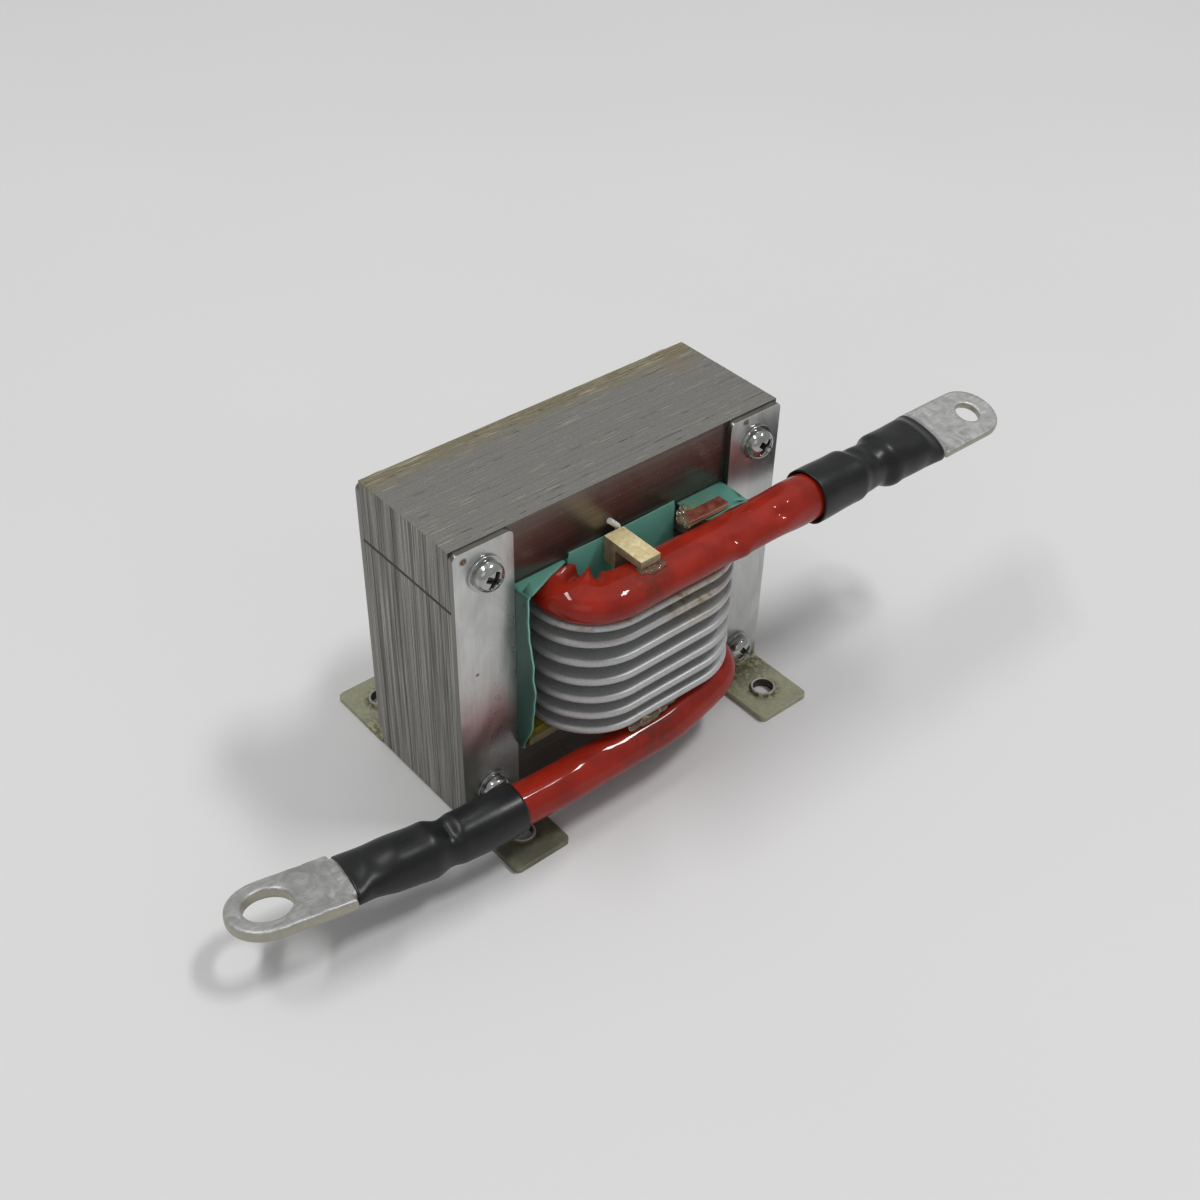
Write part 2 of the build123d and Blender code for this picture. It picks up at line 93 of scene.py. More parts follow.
def finished(name, mesh, material, slot_name, *replaced):
    """Links a finished mesh as a piece that rides on the one body and stands for CAD nodes."""
    piece = linked(name, mesh)
    if material is not None:
        mesh.materials.clear()
        mesh.materials.append(material)
    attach(piece, "root")
    if replaced:
        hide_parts(*replaced)


def paint_node(name, material):
    """Gives a CAD node that stays in view its finish."""
    nodes[name].data.materials.clear()
    nodes[name].data.materials.append(material)


def mesh_from(name, points, faces, smooth=True, marks=None):
    """A mesh from points in millimetres and faces, with its normals pointing outwards.

    marks holds a value for each point under the name of the attribute it goes into.
    """
    mesh = bpy.data.meshes.new(name)
    mesh.from_pydata([Vector(point) * MM for point in points], [], faces)
    for label, values in (marks or {}).items():
        mesh.attributes.new(label, "FLOAT", "POINT").data.foreach_set("value", values)
    merged(mesh, 0.0005)
    mesh.polygons.foreach_set("use_smooth", [smooth] * len(mesh.polygons))
    mesh.update()
    return mesh


def merged(mesh, gap, flatten=False):
    """Merges points closer than a gap, and turns the faces outwards."""
    shape = bmesh.new()
    shape.from_mesh(mesh)
    bmesh.ops.remove_doubles(shape, verts=shape.verts, dist=gap * MM)
    if flatten:
        bmesh.ops.dissolve_limit(shape, angle_limit=math.radians(1.0), verts=shape.verts, edges=shape.edges)
    bmesh.ops.recalc_face_normals(shape, faces=shape.faces)
    shape.to_mesh(mesh)
    shape.free()


def with_modifiers(name, mesh, **steps):
    """A mesh with modifiers applied; each step is a modifier type and its settings."""
    holder = linked(name + "_holder", mesh)
    for kind, settings in steps.items():
        modifier = holder.modifiers.new(kind.lower(), kind)
        for key, value in settings.items():
            setattr(modifier, key, value)
    return baked(holder)


def baked(holder):
    """The plain mesh of an object with its modifiers applied. The object is removed."""
    bpy.context.view_layer.update()
    evaluated = holder.evaluated_get(bpy.context.evaluated_depsgraph_get())
    mesh = bpy.data.meshes.new_from_object(evaluated)
    bpy.data.objects.remove(holder)
    return mesh


def edge_bevel(width, segments, angle):
    """Settings of a bevel on the edges over an angle."""
    limit = {"limit_method": "ANGLE", "angle_limit": math.radians(angle)}
    return {"width": width * MM, "segments": segments, **limit}


def softened_copy(node, edge):
    """A merged copy of a CAD node's mesh with its sharp edges rounded."""
    mesh = nodes[node].data.copy()
    merged(mesh, 0.002, flatten=True)
    mesh = with_modifiers(node, mesh, BEVEL={**edge_bevel(edge, 2, 35.0), "harden_normals": False})
    shade_by_angle(mesh, 30.0)
    return with_modifiers(node, mesh, WEIGHTED_NORMAL={"keep_sharp": True, "weight": 100})


def shade_by_angle(mesh, angle):
    """Smooth shading with edges over the angle kept sharp."""
    shape = bmesh.new()
    shape.from_mesh(mesh)
    for edge in shape.edges:
        edge.smooth = edge.calc_face_angle(0.0) < math.radians(angle)
    for face in shape.faces:
        face.smooth = True
    shape.to_mesh(mesh)
    shape.free()


def joined(meshes):
    """One mesh from several."""
    shape = bmesh.new()
    for mesh in meshes:
        shape.from_mesh(mesh)
    whole = bpy.data.meshes.new(meshes[0].name + "_all")
    shape.to_mesh(whole)
    shape.free()
    return whole


def circle(count, radius=1.0):
    """Points at even steps round a circle."""
    angles = [2 * math.pi * i / count for i in range(count)]
    return [(radius * math.cos(angle), radius * math.sin(angle)) for angle in angles]


def arc(centre, radius, start, end, count):
    """Points at even steps along an arc, both ends among them, with its angles in degrees."""
    angles = [math.radians(start + (end - start) * i / count) for i in range(count + 1)]
    return [(centre[0] + radius * math.cos(angle), centre[1] + radius * math.sin(angle)) for angle in angles]


def grid_faces(rows, columns, wrap=False, closed=False, first=0):
    """Faces of a grid of points, row by row.

    wrap joins the ends of each row, and closed joins the last row to the first.
    """
    faces = []
    for i in range(rows if closed else rows - 1):
        m = (i + 1) % rows
        for j in range(columns if wrap else columns - 1):
            k = (j + 1) % columns
            faces.append(tuple(first + a * columns + b for a, b in ((i, j), (i, k), (m, k), (m, j))))
    return faces


def ring_mesh(name, rings):
    """A closed tube through rings of points."""
    count = len(rings[0])
    points = [point for ring in rings for point in ring]
    ends = [tuple(reversed(range(count))), tuple(range(len(points) - count, len(points)))]
    return mesh_from(name, points, grid_faces(len(rings), count, wrap=True) + ends)


def within(value, low=0.0, high=1.0):
    """The value held between two limits."""
    return min(max(value, low), high)


def between(places, place):
    """The values at a place in a list of (place, value, ...), blended smoothly."""
    if place <= places[0][0]:
        return places[0][1:]
    for first, second in zip(places, places[1:]):
        if place <= second[0]:
            share = (place - first[0]) / (second[0] - first[0])
            share = share * share * (3 - 2 * share)
            return tuple(a + (b - a) * share for a, b in zip(first[1:], second[1:]))
    return places[-1][1:]


def wander(point, scale, seed=0.0):
    """Smooth noise between about -1 and 1 at a point in millimetres."""
    return noise.noise(Vector(point) / scale + Vector((seed, seed * 1.7, -seed)))


class Route:
    """A path of straight runs joined by tangent arcs, read by the distance along it."""

    def __init__(self, points, radii, step=0.5):
        points = [Vector(point) for point in points]
        line = [points[0]]
        for before, corner, after, radius in zip(points, points[1:], points[2:], radii):
            inward = (corner - before).normalized()
            outward = (after - corner).normalized()
            turn = inward.angle(outward)
            cut = radius * math.tan(turn / 2)
            middle = corner + (outward - inward).normalized() * radius / math.cos(turn / 2)
            start = corner - inward * cut - middle
            end = corner + outward * cut - middle
            count = max(2, int(radius * turn / step))
            for i in range(count + 1):
                line.append(middle + start.slerp(end, i / count).normalized() * radius)
        line.append(points[-1])
        self.places = [0.0]
        self.line = [line[0]]
        for point in line[1:]:
            gap = (point - self.line[-1]).length
            if gap > 1e-6:
                self.places.append(self.places[-1] + gap)
                self.line.append(point)
        self.length = self.places[-1]

    def point(self, place):
        """The point at a distance along the route."""
        place = within(place, 0.0, self.length)
        for i in range(1, len(self.places)):
            if place <= self.places[i]:
                span = self.places[i] - self.places[i - 1]
                return self.line[i - 1].lerp(self.line[i], (place - self.places[i - 1]) / span)

    def frame(self, place, roll=0.0):
        """Point, direction, level axis and upward axis, turned by a roll in degrees."""
        reach = 0.6
        along = (self.point(place + reach) - self.point(place - reach)).normalized()
        level = Vector((0, 0, 1)).cross(along).normalized()
        upward = along.cross(level)
        angle = math.radians(roll)
        turned = level * math.cos(angle) + upward * math.sin(angle)
        return self.point(place), along, turned, upward * math.cos(angle) - level * math.sin(angle)


# Geometry node trees


class Tree:
    """A geometry node tree, built by short calls."""

    def __init__(self, name, **inputs):
        self.group = bpy.data.node_groups.new(name, "GeometryNodeTree")
        for label, kind in inputs.items():
            self.group.interface.new_socket(label, in_out="INPUT", socket_type="NodeSocket" + kind)
        self.group.interface.new_socket("Geometry", in_out="OUTPUT", socket_type="NodeSocketGeometry")
        self.given = self.group.nodes.new("NodeGroupInput").outputs
        self.end = self.group.nodes.new("NodeGroupOutput")

    def add(self, kind, sockets, output=0, **settings):
        """Adds a node, sets its own settings, fills its sockets with values or links, gives an output."""
        node = self.group.nodes.new(kind)
        for key, value in settings.items():
            setattr(node, key, value)
        for key, value in sockets.items():
            if isinstance(value, bpy.types.NodeSocket):
                self.group.links.new(value, node.inputs[key])
            else:
                node.inputs[key].default_value = value
        return node.outputs[output]

    def marked(self, geometry, label, value):
        """Geometry with a value kept at each point under a name."""
        sockets = {"Geometry": geometry, "Name": label, "Value": value}
        return self.add("GeometryNodeStoreNamedAttribute", sockets, data_type="FLOAT", domain="POINT")

    def grow(self, name, geometry, material, **values):
        """Ends the tree in real geometry with its material and returns the plain mesh."""
        real = self.add("GeometryNodeRealizeInstances", {"Geometry": geometry})
        painted = self.add("GeometryNodeSetMaterial", {"Geometry": real, "Material": material})
        self.group.links.new(painted, self.end.inputs[0])
        holder = linked(name + "_holder", bpy.data.meshes.new(name + "_seed"))
        modifier = holder.modifiers.new("grow", "NODES")
        modifier.node_group = self.group
        for item in self.group.interface.items_tree:
            if item.name in values:
                modifier[item.identifier] = values[item.name]
        return baked(holder)


# Finishes


class Tone:
    """A value that varies over a surface, with plain arithmetic."""

    def __init__(self, finish, socket):
        self.finish = finish
        self.socket = socket

    def maths(self, operation, other=0.0):
        return self.finish.node("ShaderNodeMath", {0: self, 1: other}, operation=operation)

    def __mul__(self, other):
        return self.maths("MULTIPLY", other)

    def __add__(self, other):
        return self.maths("ADD", other)

    def __sub__(self, other):
        return self.maths("SUBTRACT", other)

    def __abs__(self):
        return self.maths("ABSOLUTE")

    def most(self, other):
        """The larger of two values."""
        return self.maths("MAXIMUM", other)

    def band(self, low, high, to_low=0.0, to_high=1.0):
        """Maps a stretch of values onto another, clamped."""
        sockets = {"Value": self, "From Min": low, "From Max": high, "To Min": to_low, "To Max": to_high}
        return self.finish.node("ShaderNodeMapRange", sockets, clamp=True)


class Finish:
    """A material's node tree, built by short calls. Its colour is laid on in coats."""

    def __init__(self, name, **constants):
        self.material = bpy.data.materials.new(name)
        self.material.use_nodes = True
        self.tree = self.material.node_tree
        self.tree.nodes.clear()
        output = self.tree.nodes.new("ShaderNodeOutputMaterial")
        self.shader = self.tree.nodes.new("ShaderNodeBsdfPrincipled")
        self.tree.links.new(self.shader.outputs[0], output.inputs["Surface"])
        self.where = self.node("ShaderNodeTexCoord", {}, "Object")
        self.colour = None
        self.set(**constants)

    def set(self, **values):
        """Fills the shader's sockets with values or tones."""
        for key, value in values.items():
            self.fill(self.shader.inputs[key.replace("_", " ")], value)

    def fill(self, socket, value):
        """Links a tone to a socket, or sets a plain value or colour."""
        if isinstance(value, Tone):
            self.tree.links.new(value.socket, socket)
        elif socket.type == "RGBA":
            socket.default_value = (*value, 1.0)
        else:
            socket.default_value = value

    def node(self, kind, sockets, output=0, **settings):
        """Adds a node, sets its own settings, fills its sockets and gives an output as a tone."""
        node = self.tree.nodes.new(kind)
        for key, value in settings.items():
            setattr(node, key, value)
        for key, value in sockets.items():
            self.fill(node.inputs[key], value)
        return Tone(self, node.outputs[output])

    def mapped(self, scale=1.0, shift=(0, 0, 0), turn=(0, 0, 0)):
        """Object coordinates in millimetres, scaled, moved and turned."""
        if isinstance(scale, float):
            scale = (scale, scale, scale)
        scale = tuple(value / MM for value in scale)
        sockets = {"Vector": self.where, "Scale": scale, "Location": shift, "Rotation": turn}
        return self.node("ShaderNodeMapping", sockets)

    def noise(self, vector, detail=3.0, roughness=0.55, distortion=0.0):
        sockets = {"Vector": vector, "Scale": 1.0, "Detail": detail, "Roughness": roughness}
        return self.node("ShaderNodeTexNoise", {**sockets, "Distortion": distortion}, "Fac")

    def speckle(self, scale, *noise, **placing):
        """Noise on the object's own coordinates, in cycles a millimetre."""
        return self.noise(self.mapped(scale, **placing), *noise)

    def mix(self, share, first, second):
        return self.node("ShaderNodeMix", {0: share, 6: first, 7: second}, 2, data_type="RGBA")

    def base(self, share, first, second):
        """The first two tones of the colour."""
        self.colour = self.mix(share, first, second)

    def coat(self, share, tint):
        """Lays a tint over the colour so far."""
        self.colour = self.mix(share, self.colour, tint)

    def axis(self, name, vector=None):
        """One coordinate of the place, in millimetres, or of another vector."""
        return self.node("ShaderNodeSeparateXYZ", {"Vector": vector or self.mapped()}, name)

    def facing(self, name):
        """How squarely the surface faces along an axis, from 0 to 1."""
        return abs(self.axis(name, self.node("ShaderNodeNewGeometry", {}, "Normal")))

    def near(self, centre, reach, fade):
        """1 close to a point in millimetres, fading to 0."""
        gap = self.node("ShaderNodeVectorMath", {0: self.mapped(), 1: centre}, "Value", operation="DISTANCE")
        return gap.band(reach, reach + fade, 1.0, 0.0)

    def attribute(self, name):
        return self.node("ShaderNodeAttribute", {}, "Fac", attribute_name=name)

    def done(self, relief, depth, strength, **values):
        """Sets the colour and the relief, with its depth in millimetres, and gives the material."""
        bump = {"Height": relief, "Distance": depth * MM, "Strength": strength}
        self.set(Base_Color=self.colour, Normal=self.node("ShaderNodeBump", bump), **values)
        return self.material


def shade(colour, factor, lift=0.0):
    """A colour made darker or lighter."""
    return tuple(value * factor + lift for value in colour)


def lamination_finish(settings):
    """Edges of steel sheets with fine seams and varnish stains, painted lighter on the sides, and a rolled
    face at the front.
    """
    finish = Finish("lamination_steel")
    depth = finish.axis("Y")
    side = finish.facing("X").band(0.4, 0.8)
    front = finish.facing("Y").band(0.8, 0.95)
    fine = finish.speckle((0.03, 2.4, 0.03), 3.0, 0.6)
    grit = finish.speckle((1.4, 2.2, 1.4), 4.0, 0.7)
    light = settings.edge_colour
    # The sheet edges on the sides get a lighter tone than those on the top: painted light. The wider spread
    # of tones on the sides is the sheets' own variation.
    top_tone = finish.mix(fine.band(0.3, 0.7), shade(light, 0.64), shade(light, 0.71))
    side_tone = finish.mix(fine.band(0.35, 0.65), shade(light, 0.62), shade(light, 1.3))
    finish.base(side, top_tone, side_tone)
    finish.coat(grit.band(0.42, 0.66, 0.0, 0.3), (0.13, 0.125, 0.115))
    finish.coat(grit.band(0.42, 0.3, 0.0, 0.3), (0.42, 0.4, 0.36))
    packets = finish.speckle((0.012, 0.5, 0.012), 3.0, 0.7)
    finish.coat(packets.band(0.47, 0.62) * side.band(0.0, 1.0, 0.05, 0.75), (0.1, 0.097, 0.09))
    threads = finish.speckle((0.03, 3.4, 0.03), 1.0, 0.5) + side.band(0.0, 1.0, -0.04, 0.07)
    finish.coat(threads.band(0.7, 0.73, 0.0, 0.7), (0.035, 0.033, 0.03))
    drifted = depth + finish.speckle((0.05, 0.0, 0.05), 1.0) * 0.5
    seam_line = 0.0
    for seam in SEAMS:
        seam_line = abs(drifted - (seam + 0.25)).band(0.08, 0.2, 1.0, 0.0).most(seam_line)
    worn = finish.speckle(0.2).band(0.54, 0.62, 0.0, 0.6).most(side * 0.8)
    finish.coat(seam_line * worn, (0.03, 0.028, 0.025))
    top = finish.axis("Z").band(CORE_TOP - 2.0, CORE_TOP - 0.4)
    dirt = finish.speckle((0.12, 0.7, 0.16), 5.0, 0.65)
    back = (depth + dirt.band(0.3, 0.7, -2.5, 2.5)).band(9.0, 14.5)
    stain = top * back * 0.75
    finish.coat(stain, settings.varnish_colour)
    brown = finish.speckle((0.5, 1.6, 0.5), 4.0, 0.7)
    finish.coat(stain * brown.band(0.55, 0.68), (0.075, 0.055, 0.03))
    dashes = finish.speckle((0.1, 3.6, 0.1), 2.0, 0.5, shift=(5.0, 2.0, 1.0)) + back * 0.08
    finish.coat(dashes.band(0.66, 0.7) * top * 0.55, (0.55, 0.5, 0.37))
    corner = finish.near((41.0, 11.5, CORE_TOP), 3.0, 8.0) * dirt.band(0.42, 0.56)
    finish.coat(corner * 0.4, (0.24, 0.17, 0.09))
    cloud = finish.speckle(0.05, 4.0, 0.6, 0.6)
    rolled = finish.speckle((0.02, 0.02, 1.6))
    specks = finish.speckle(0.5, 2.0, 0.5)
    bright = settings.face_colour
    face = finish.mix(cloud.band(0.35, 0.65), shade(bright, 0.8), bright)
    face = finish.mix(rolled.band(0.45, 0.7, 0.0, 0.15), face, (0.42, 0.4, 0.38))
    face = finish.mix(specks.band(0.72, 0.76, 0.0, 0.3), face, (0.5, 0.46, 0.4))
    finish.coat(front, face)
    edge_rough = fine.band(0.3, 0.7, 0.62, 0.5)
    face_rough = cloud.band(0.3, 0.7, 0.24, 0.32)
    rough = finish.node("ShaderNodeMix", {0: front, 2: edge_rough, 3: face_rough}, data_type="FLOAT")
    metal = front.band(0.0, 1.0, 0.5, 0.85)
    return finish.done(finish.mix(0.5, fine, grit), 0.04, 0.3, Roughness=rough, Metallic=metal)


def zinc_finish(name, settings, on_strap):
    """Zinc plate with blotches and fine scratches, with painted shade in the screws' cross recesses; the
    straps add rust spots, pooled varnish, a painted shadow on the left front foot, and painted shade on
    their edges and in the foot holes.
    """
    finish = Finish(name, Metallic=0.9)
    cloud = finish.speckle((0.1, 0.1, 0.05), 5.0, 0.6, 0.8)
    grain = finish.speckle((1.6, 1.6, 0.06), 3.0, 0.6)
    scratch = finish.speckle((2.4, 2.4, 0.09), 2.0, 0.5, turn=(0.0, 0.35, 0.2))
    bright = settings.plate_colour
    finish.base(cloud.band(0.36, 0.66), shade(bright, 0.72), bright)
    finish.coat(grain.band(0.4, 0.7, 0.0, 0.18), (0.34, 0.34, 0.34))
    finish.coat(scratch.band(0.69, 0.72, 0.0, 0.4), (0.86, 0.86, 0.85))
    relief = finish.mix(0.5, grain, scratch)
    if not on_strap:
        finish.coat(0.35, (0.2, 0.2, 0.19))
        # Painted shade in the screws' cross recesses, marked by the recess attribute.
        finish.coat(finish.attribute("recess"), (0.05, 0.045, 0.04))
        return finish.done(relief, 0.03, 0.4, Roughness=cloud.band(0.35, 0.65, 0.1, 0.2))
    height = finish.axis("Z")
    low = height.band(3.0, 7.5, 1.0, 0.0)
    # Faces that do not look forward or back, such as the plate's top edges, are painted darker: painted
    # shade in place of the dark they reflect.
    finish.coat(finish.facing("Y").band(0.25, 0.5, 1.0, 0.0) * 0.85, (0.13, 0.122, 0.1))
    out = abs(finish.axis("Y"))
    pool = finish.speckle(0.25, 5.0, 0.65, 0.6)
    crumbs = finish.speckle(0.9, 4.0, 0.7, 0.4)
    finish.coat(low * pool.band(0.3, 0.6, 0.7, 0.95), settings.stain_colour)
    inner = low * out.band(21.0, 28.0, 1.0, 0.15)
    finish.coat(inner * crumbs.band(0.45, 0.53) * 0.72, (0.06, 0.06, 0.02))
    finish.coat(inner * crumbs.band(0.43, 0.38) * 0.9, (0.55, 0.42, 0.12))
    for centre, reach, tint in STRAP_SPOTS:
        finish.coat(finish.near(centre, reach, reach) * crumbs.band(0.35, 0.5), tint)
    # A dark varnish stain and a painted shadow on the left front foot, behind the lower lead's black sleeve.
    dark = finish.near((-39.0, -29.0, 1.0), 9.0, 13.0) * pool.band(0.3, 0.55, 0.5, 0.85)
    finish.coat(dark, (0.1, 0.1, 0.07))
    hole_x, hole_y, radius = FOOT_HOLE
    aside = abs(finish.axis("X")) - hole_x
    ahead = out - hole_y
    off = (aside * aside + ahead * ahead).maths("POWER", 0.5)
    dirt = off.band(radius + 1.0, radius + 2.4, 0.85, 0.0) * low
    finish.coat(dirt * crumbs.band(0.4, 0.52), (0.1, 0.085, 0.04))
    worn = low * off.band(radius + 0.85, radius + 1.0, 0.7, 0.0)
    finish.coat(worn * height.band(2.3, 2.55), (0.5, 0.5, 0.47))
    # Painted shade on the inner walls of the foot holes.
    finish.coat(low * off.band(radius + 0.02, radius + 0.12, 0.9, 0.0), (0.03, 0.03, 0.025))
    relief = finish.mix(low, relief, crumbs * 8.0)
    rough = cloud.band(0.35, 0.65, 0.26, 0.36) + low * 0.22
    return finish.done(relief, 0.03, 0.4, Roughness=rough, Metallic=low.band(0.0, 1.0, 0.9, 0.35))


def strip_finish(settings):
    """Drawn aluminium: fine lines along the strip, brown varnish spots on the end turns."""
    finish = Finish("bare_strip", Metallic=0.5)
    place = {"X": finish.attribute("run"), "Y": finish.attribute("turn")}
    lines = finish.node("ShaderNodeCombineXYZ", place)
    lines = finish.node("ShaderNodeMapping", {"Vector": lines, "Scale": (0.02, 60.0, 1.0)})
    drawn = finish.noise(lines, 4.0, 0.6)
    cloud = finish.speckle(0.07, 4.0, 0.6, 0.4)
    spots = finish.speckle(0.3, 4.0, 0.6, 0.6)
    bright = settings.strip_colour
    finish.base(drawn.band(0.3, 0.7), shade(bright, 0.8), bright)
    finish.coat(cloud.band(0.5, 0.72, 0.0, 0.3), (0.45, 0.45, 0.45))
    specks = finish.speckle(2.2, 3.0, 0.7)
    finish.coat(specks.band(0.4, 0.65, 0.0, 0.4), (0.3, 0.3, 0.31))
    height = finish.axis("Z")
    ends = height.band(49.0, 53.0).most(height.band(22.0, 25.5, 1.0, 0.0))
    finish.coat(ends * spots.band(0.56, 0.66) * 0.6, (0.3, 0.2, 0.1))
    haze = finish.near((8.0, -34.0, 53.5), 5.0, 7.0) * spots.band(0.35, 0.5)
    finish.coat(haze * 0.6, (0.42, 0.36, 0.25))
    finish.coat(haze * spots.band(0.56, 0.62) * 0.5, (0.2, 0.12, 0.04))
    return finish.done(drawn, 0.03, 0.4, Roughness=drawn.band(0.3, 0.7, 0.56, 0.44))


def sleeve_finish(settings):
    """Varnished red sleeving: deep red under a wet coat, with faint darker mottling."""
    finish = Finish("red_sleeving", Metallic=0.0, Roughness=0.5, Coat_Weight=0.65, Coat_Roughness=0.04)
    finish.set(Specular_IOR_Level=0.05, Coat_IOR=1.45)
    mottle = finish.speckle(0.14, 4.0, 0.55, 0.5)
    runs = finish.speckle(0.6, 3.0, 0.5)
    red = settings.sleeve_colour
    finish.base(mottle.band(0.35, 0.65), shade(red, 0.72), red)
    finish.coat(runs.band(0.66, 0.76, 0.0, 0.3), shade(red, 1.5))
    # Brown varnish stains on the sleeves; the stain on the lower sleeve, under the coil, is also painted
    # shade.
    brown = finish.near((-6.0, -33.0, 64.5), 3.0, 5.0)
    brown = brown.most(finish.near((-15.5, -20.5, 63.0), 1.5, 3.0))
    brown = brown.most(finish.near((-4.0, -33.5, 19.5), 4.0, 6.0))
    finish.coat(brown * runs.band(0.35, 0.55) * 0.65, (0.09, 0.02, 0.01))
    return finish.done(finish.speckle(0.25, 2.5, 0.5, 0.3), 0.15, 0.2)


def shrink_finish(settings):
    """Satin black heat-shrink with faint scuffs."""
    finish = Finish("black_shrink", Metallic=0.0, Specular_IOR_Level=0.35)
    cloud = finish.speckle(0.12, 4.0, 0.6)
    scuff = finish.speckle((0.25, 1.6, 1.6), 4.0, 0.65)
    black = settings.shrink_colour
    finish.base(scuff.band(0.55, 0.8, 0.0, 0.5), black, shade(black, 3.0))
    return finish.done(finish.speckle(0.5), 0.1, 0.3, Roughness=cloud.band(0.3, 0.7, 0.28, 0.4))


def lug_finish(settings):
    """Tinned metal: matte with swirls, small pits and bright scratches."""
    finish = Finish("tinned_lug", Metallic=0.6)
    cloud = finish.speckle(0.2, 5.0, 0.65, 1.4)
    scratch = finish.speckle((0.14, 2.6, 1.0), 3.0, 0.6, turn=(0.0, 0.0, 0.5))
    second = finish.speckle((2.2, 0.18, 1.0), 3.0, 0.6, turn=(0.0, 0.0, 0.9))
    bright = settings.lug_colour
    finish.base(cloud.band(0.35, 0.65), shade(bright, 0.68), bright)
    lines = scratch.band(0.6, 0.68).most(second.band(0.64, 0.7))
    finish.coat(lines * 0.35, (0.78, 0.78, 0.75))
    finish.coat(finish.facing("Z").band(0.5, 0.8, 0.6, 0.0), (0.4, 0.38, 0.27))
    rough = cloud.band(0.3, 0.7, 0.36, 0.5)
    return finish.done(finish.mix(0.5, cloud, scratch), 0.06, 0.3, Roughness=rough)


def film_finish(settings):
    """Green insulating film, slightly clear, with a painted highlight along its front rim, painted light on
    its front faces and painted shade on its left wall, with varnish on the right flap.
    """
    finish = Finish("green_film", Metallic=0.0, Transmission_Weight=0.1)
    finish.set(Coat_Weight=0.4, Coat_Roughness=0.12)
    cloud = finish.speckle(0.06, 4.0, 0.6, 0.8)
    green = settings.film_colour
    finish.base(cloud.band(0.3, 0.7), shade(green, 0.75), green)
    patches = finish.speckle(0.14, 4.0, 0.6, 0.5).band(0.4, 0.55)
    stain = finish.near((20.0, -20.5, WINDOW_TOP), 2.5, 4.5) * patches
    finish.coat(stain * 0.5, (0.24, 0.27, 0.09))
    # Faces looking forward or back are painted lighter: painted light passing through the film.
    finish.coat(finish.facing("Y").band(0.7, 0.9) * 0.9, shade(green, 2.0))
    # The left wall is painted darker: painted shade.
    wall = finish.axis("X").band(-31.0, -30.0, 0.85, 0.0) * finish.facing("X").band(0.5, 0.8)
    finish.coat(wall, shade(green, 0.2))
    # A painted highlight along the film's front rim.
    finish.coat(finish.attribute("inset").band(0.15, 0.6, 0.3, 0.0), shade(green, 1.3, 0.12))
    return finish.done(finish.speckle(0.2), 0.2, 0.3, Roughness=cloud.band(0.3, 0.7, 0.3, 0.45))


def plain_finish(name, first, second, scale, roughness, **constants):
    """A two-tone mottled finish with fine relief, for boards and ties."""
    finish = Finish(name, **constants)
    cloud = finish.speckle(scale, 4.0, 0.6, 0.4)
    finish.base(cloud.band(0.35, 0.65), first, second)
    rough = cloud.band(0.3, 0.7, roughness, roughness + 0.12)
    return finish.done(finish.speckle(1.2), 0.06, 0.5, Roughness=rough)


def cut_finish(name, top, side, scale, roughness):
    """A finish with one pair of tones on faces looking up and another pair on the sides; the block's darker
    sides are painted shade, the shim's are its cut layers.
    """
    finish = Finish(name)
    cloud = finish.speckle(0.5, 5.0, 0.7, 0.4)
    layers = finish.speckle(scale, 3.0, 0.6)
    above = finish.mix(cloud.band(0.38, 0.62), *top)
    beside = finish.mix(layers.band(0.4, 0.6), *side)
    finish.base(finish.facing("Z").band(0.5, 0.8), beside, above)
    return finish.done(cloud, 0.08, 0.5, Roughness=cloud.band(0.3, 0.7, roughness, roughness + 0.15))


def varnish_finish(settings):
    """Set varnish: clear amber beads and runs, whitish at the back."""
    finish = Finish("set_varnish", Metallic=0.0, IOR=1.45, Roughness=0.06)
    amber = settings.bead_colour
    finish.base(finish.speckle(0.4, 3.0, 0.5).band(0.35, 0.65), shade(amber, 0.8), amber)
    white = finish.axis("Y").band(8.0, 12.0)
    finish.coat(white, (0.6, 0.57, 0.48))
    clear = white.band(0.0, 1.0, 0.92, 0.3)
    return finish.done(finish.speckle(1.2, 2.0), 0.2, 0.5, Transmission_Weight=clear)


# Settings


def length_setting(label, words, value):
    return bpy.props.FloatProperty(name=label, description=words + ", mm", default=value, min=0.0)


def colour_setting(label, words, value):
    return bpy.props.FloatVectorProperty(
        name=label, description=words, default=value, size=3, min=0.0, max=1.0, subtype="COLOR"
    )


class ChokeCoreSettings(bpy.types.PropertyGroup):
    """Lamination stack."""

    sheet_count: bpy.props.IntProperty(name="Sheets", description="Sheets in the stack", default=62, min=2)
    sheet_gap: length_setting("Sheet gap", "Space between two sheets", 0.008)
    sheet_wobble: length_setting("Sheet wobble", "How far a sheet stands out of line", 0.025)
    edge_round: length_setting("Edge round", "Burr radius on a sheet's edges", 0.014)
    seed: bpy.props.IntProperty(name="Seed", description="Seed of the wobble", default=7)
    edge_colour: colour_setting("Edge colour", "Cut edges of the sheets", (0.31, 0.305, 0.285))
    face_colour: colour_setting("Face colour", "Rolled face of the front sheet", (0.165, 0.14, 0.12))
    varnish_colour: colour_setting("Varnish colour", "Varnish soaked into the top", (0.21, 0.185, 0.1))


class ChokeStrapSettings(bpy.types.PropertyGroup):
    """Foot straps and fasteners."""

    edge_round: length_setting("Edge round", "Rounding of the plate's edges", 0.22)
    plate_colour: colour_setting("Plate colour", "Zinc plate", (0.66, 0.675, 0.66))
    stain_colour: colour_setting("Stain colour", "Varnish pooled on the feet", (0.36, 0.365, 0.25))
    collar_height: length_setting("Collar height", "Height of the rims round the foot holes", 1.0)
    recess_depth: length_setting("Recess depth", "Depth of the screw's cross", 1.3)


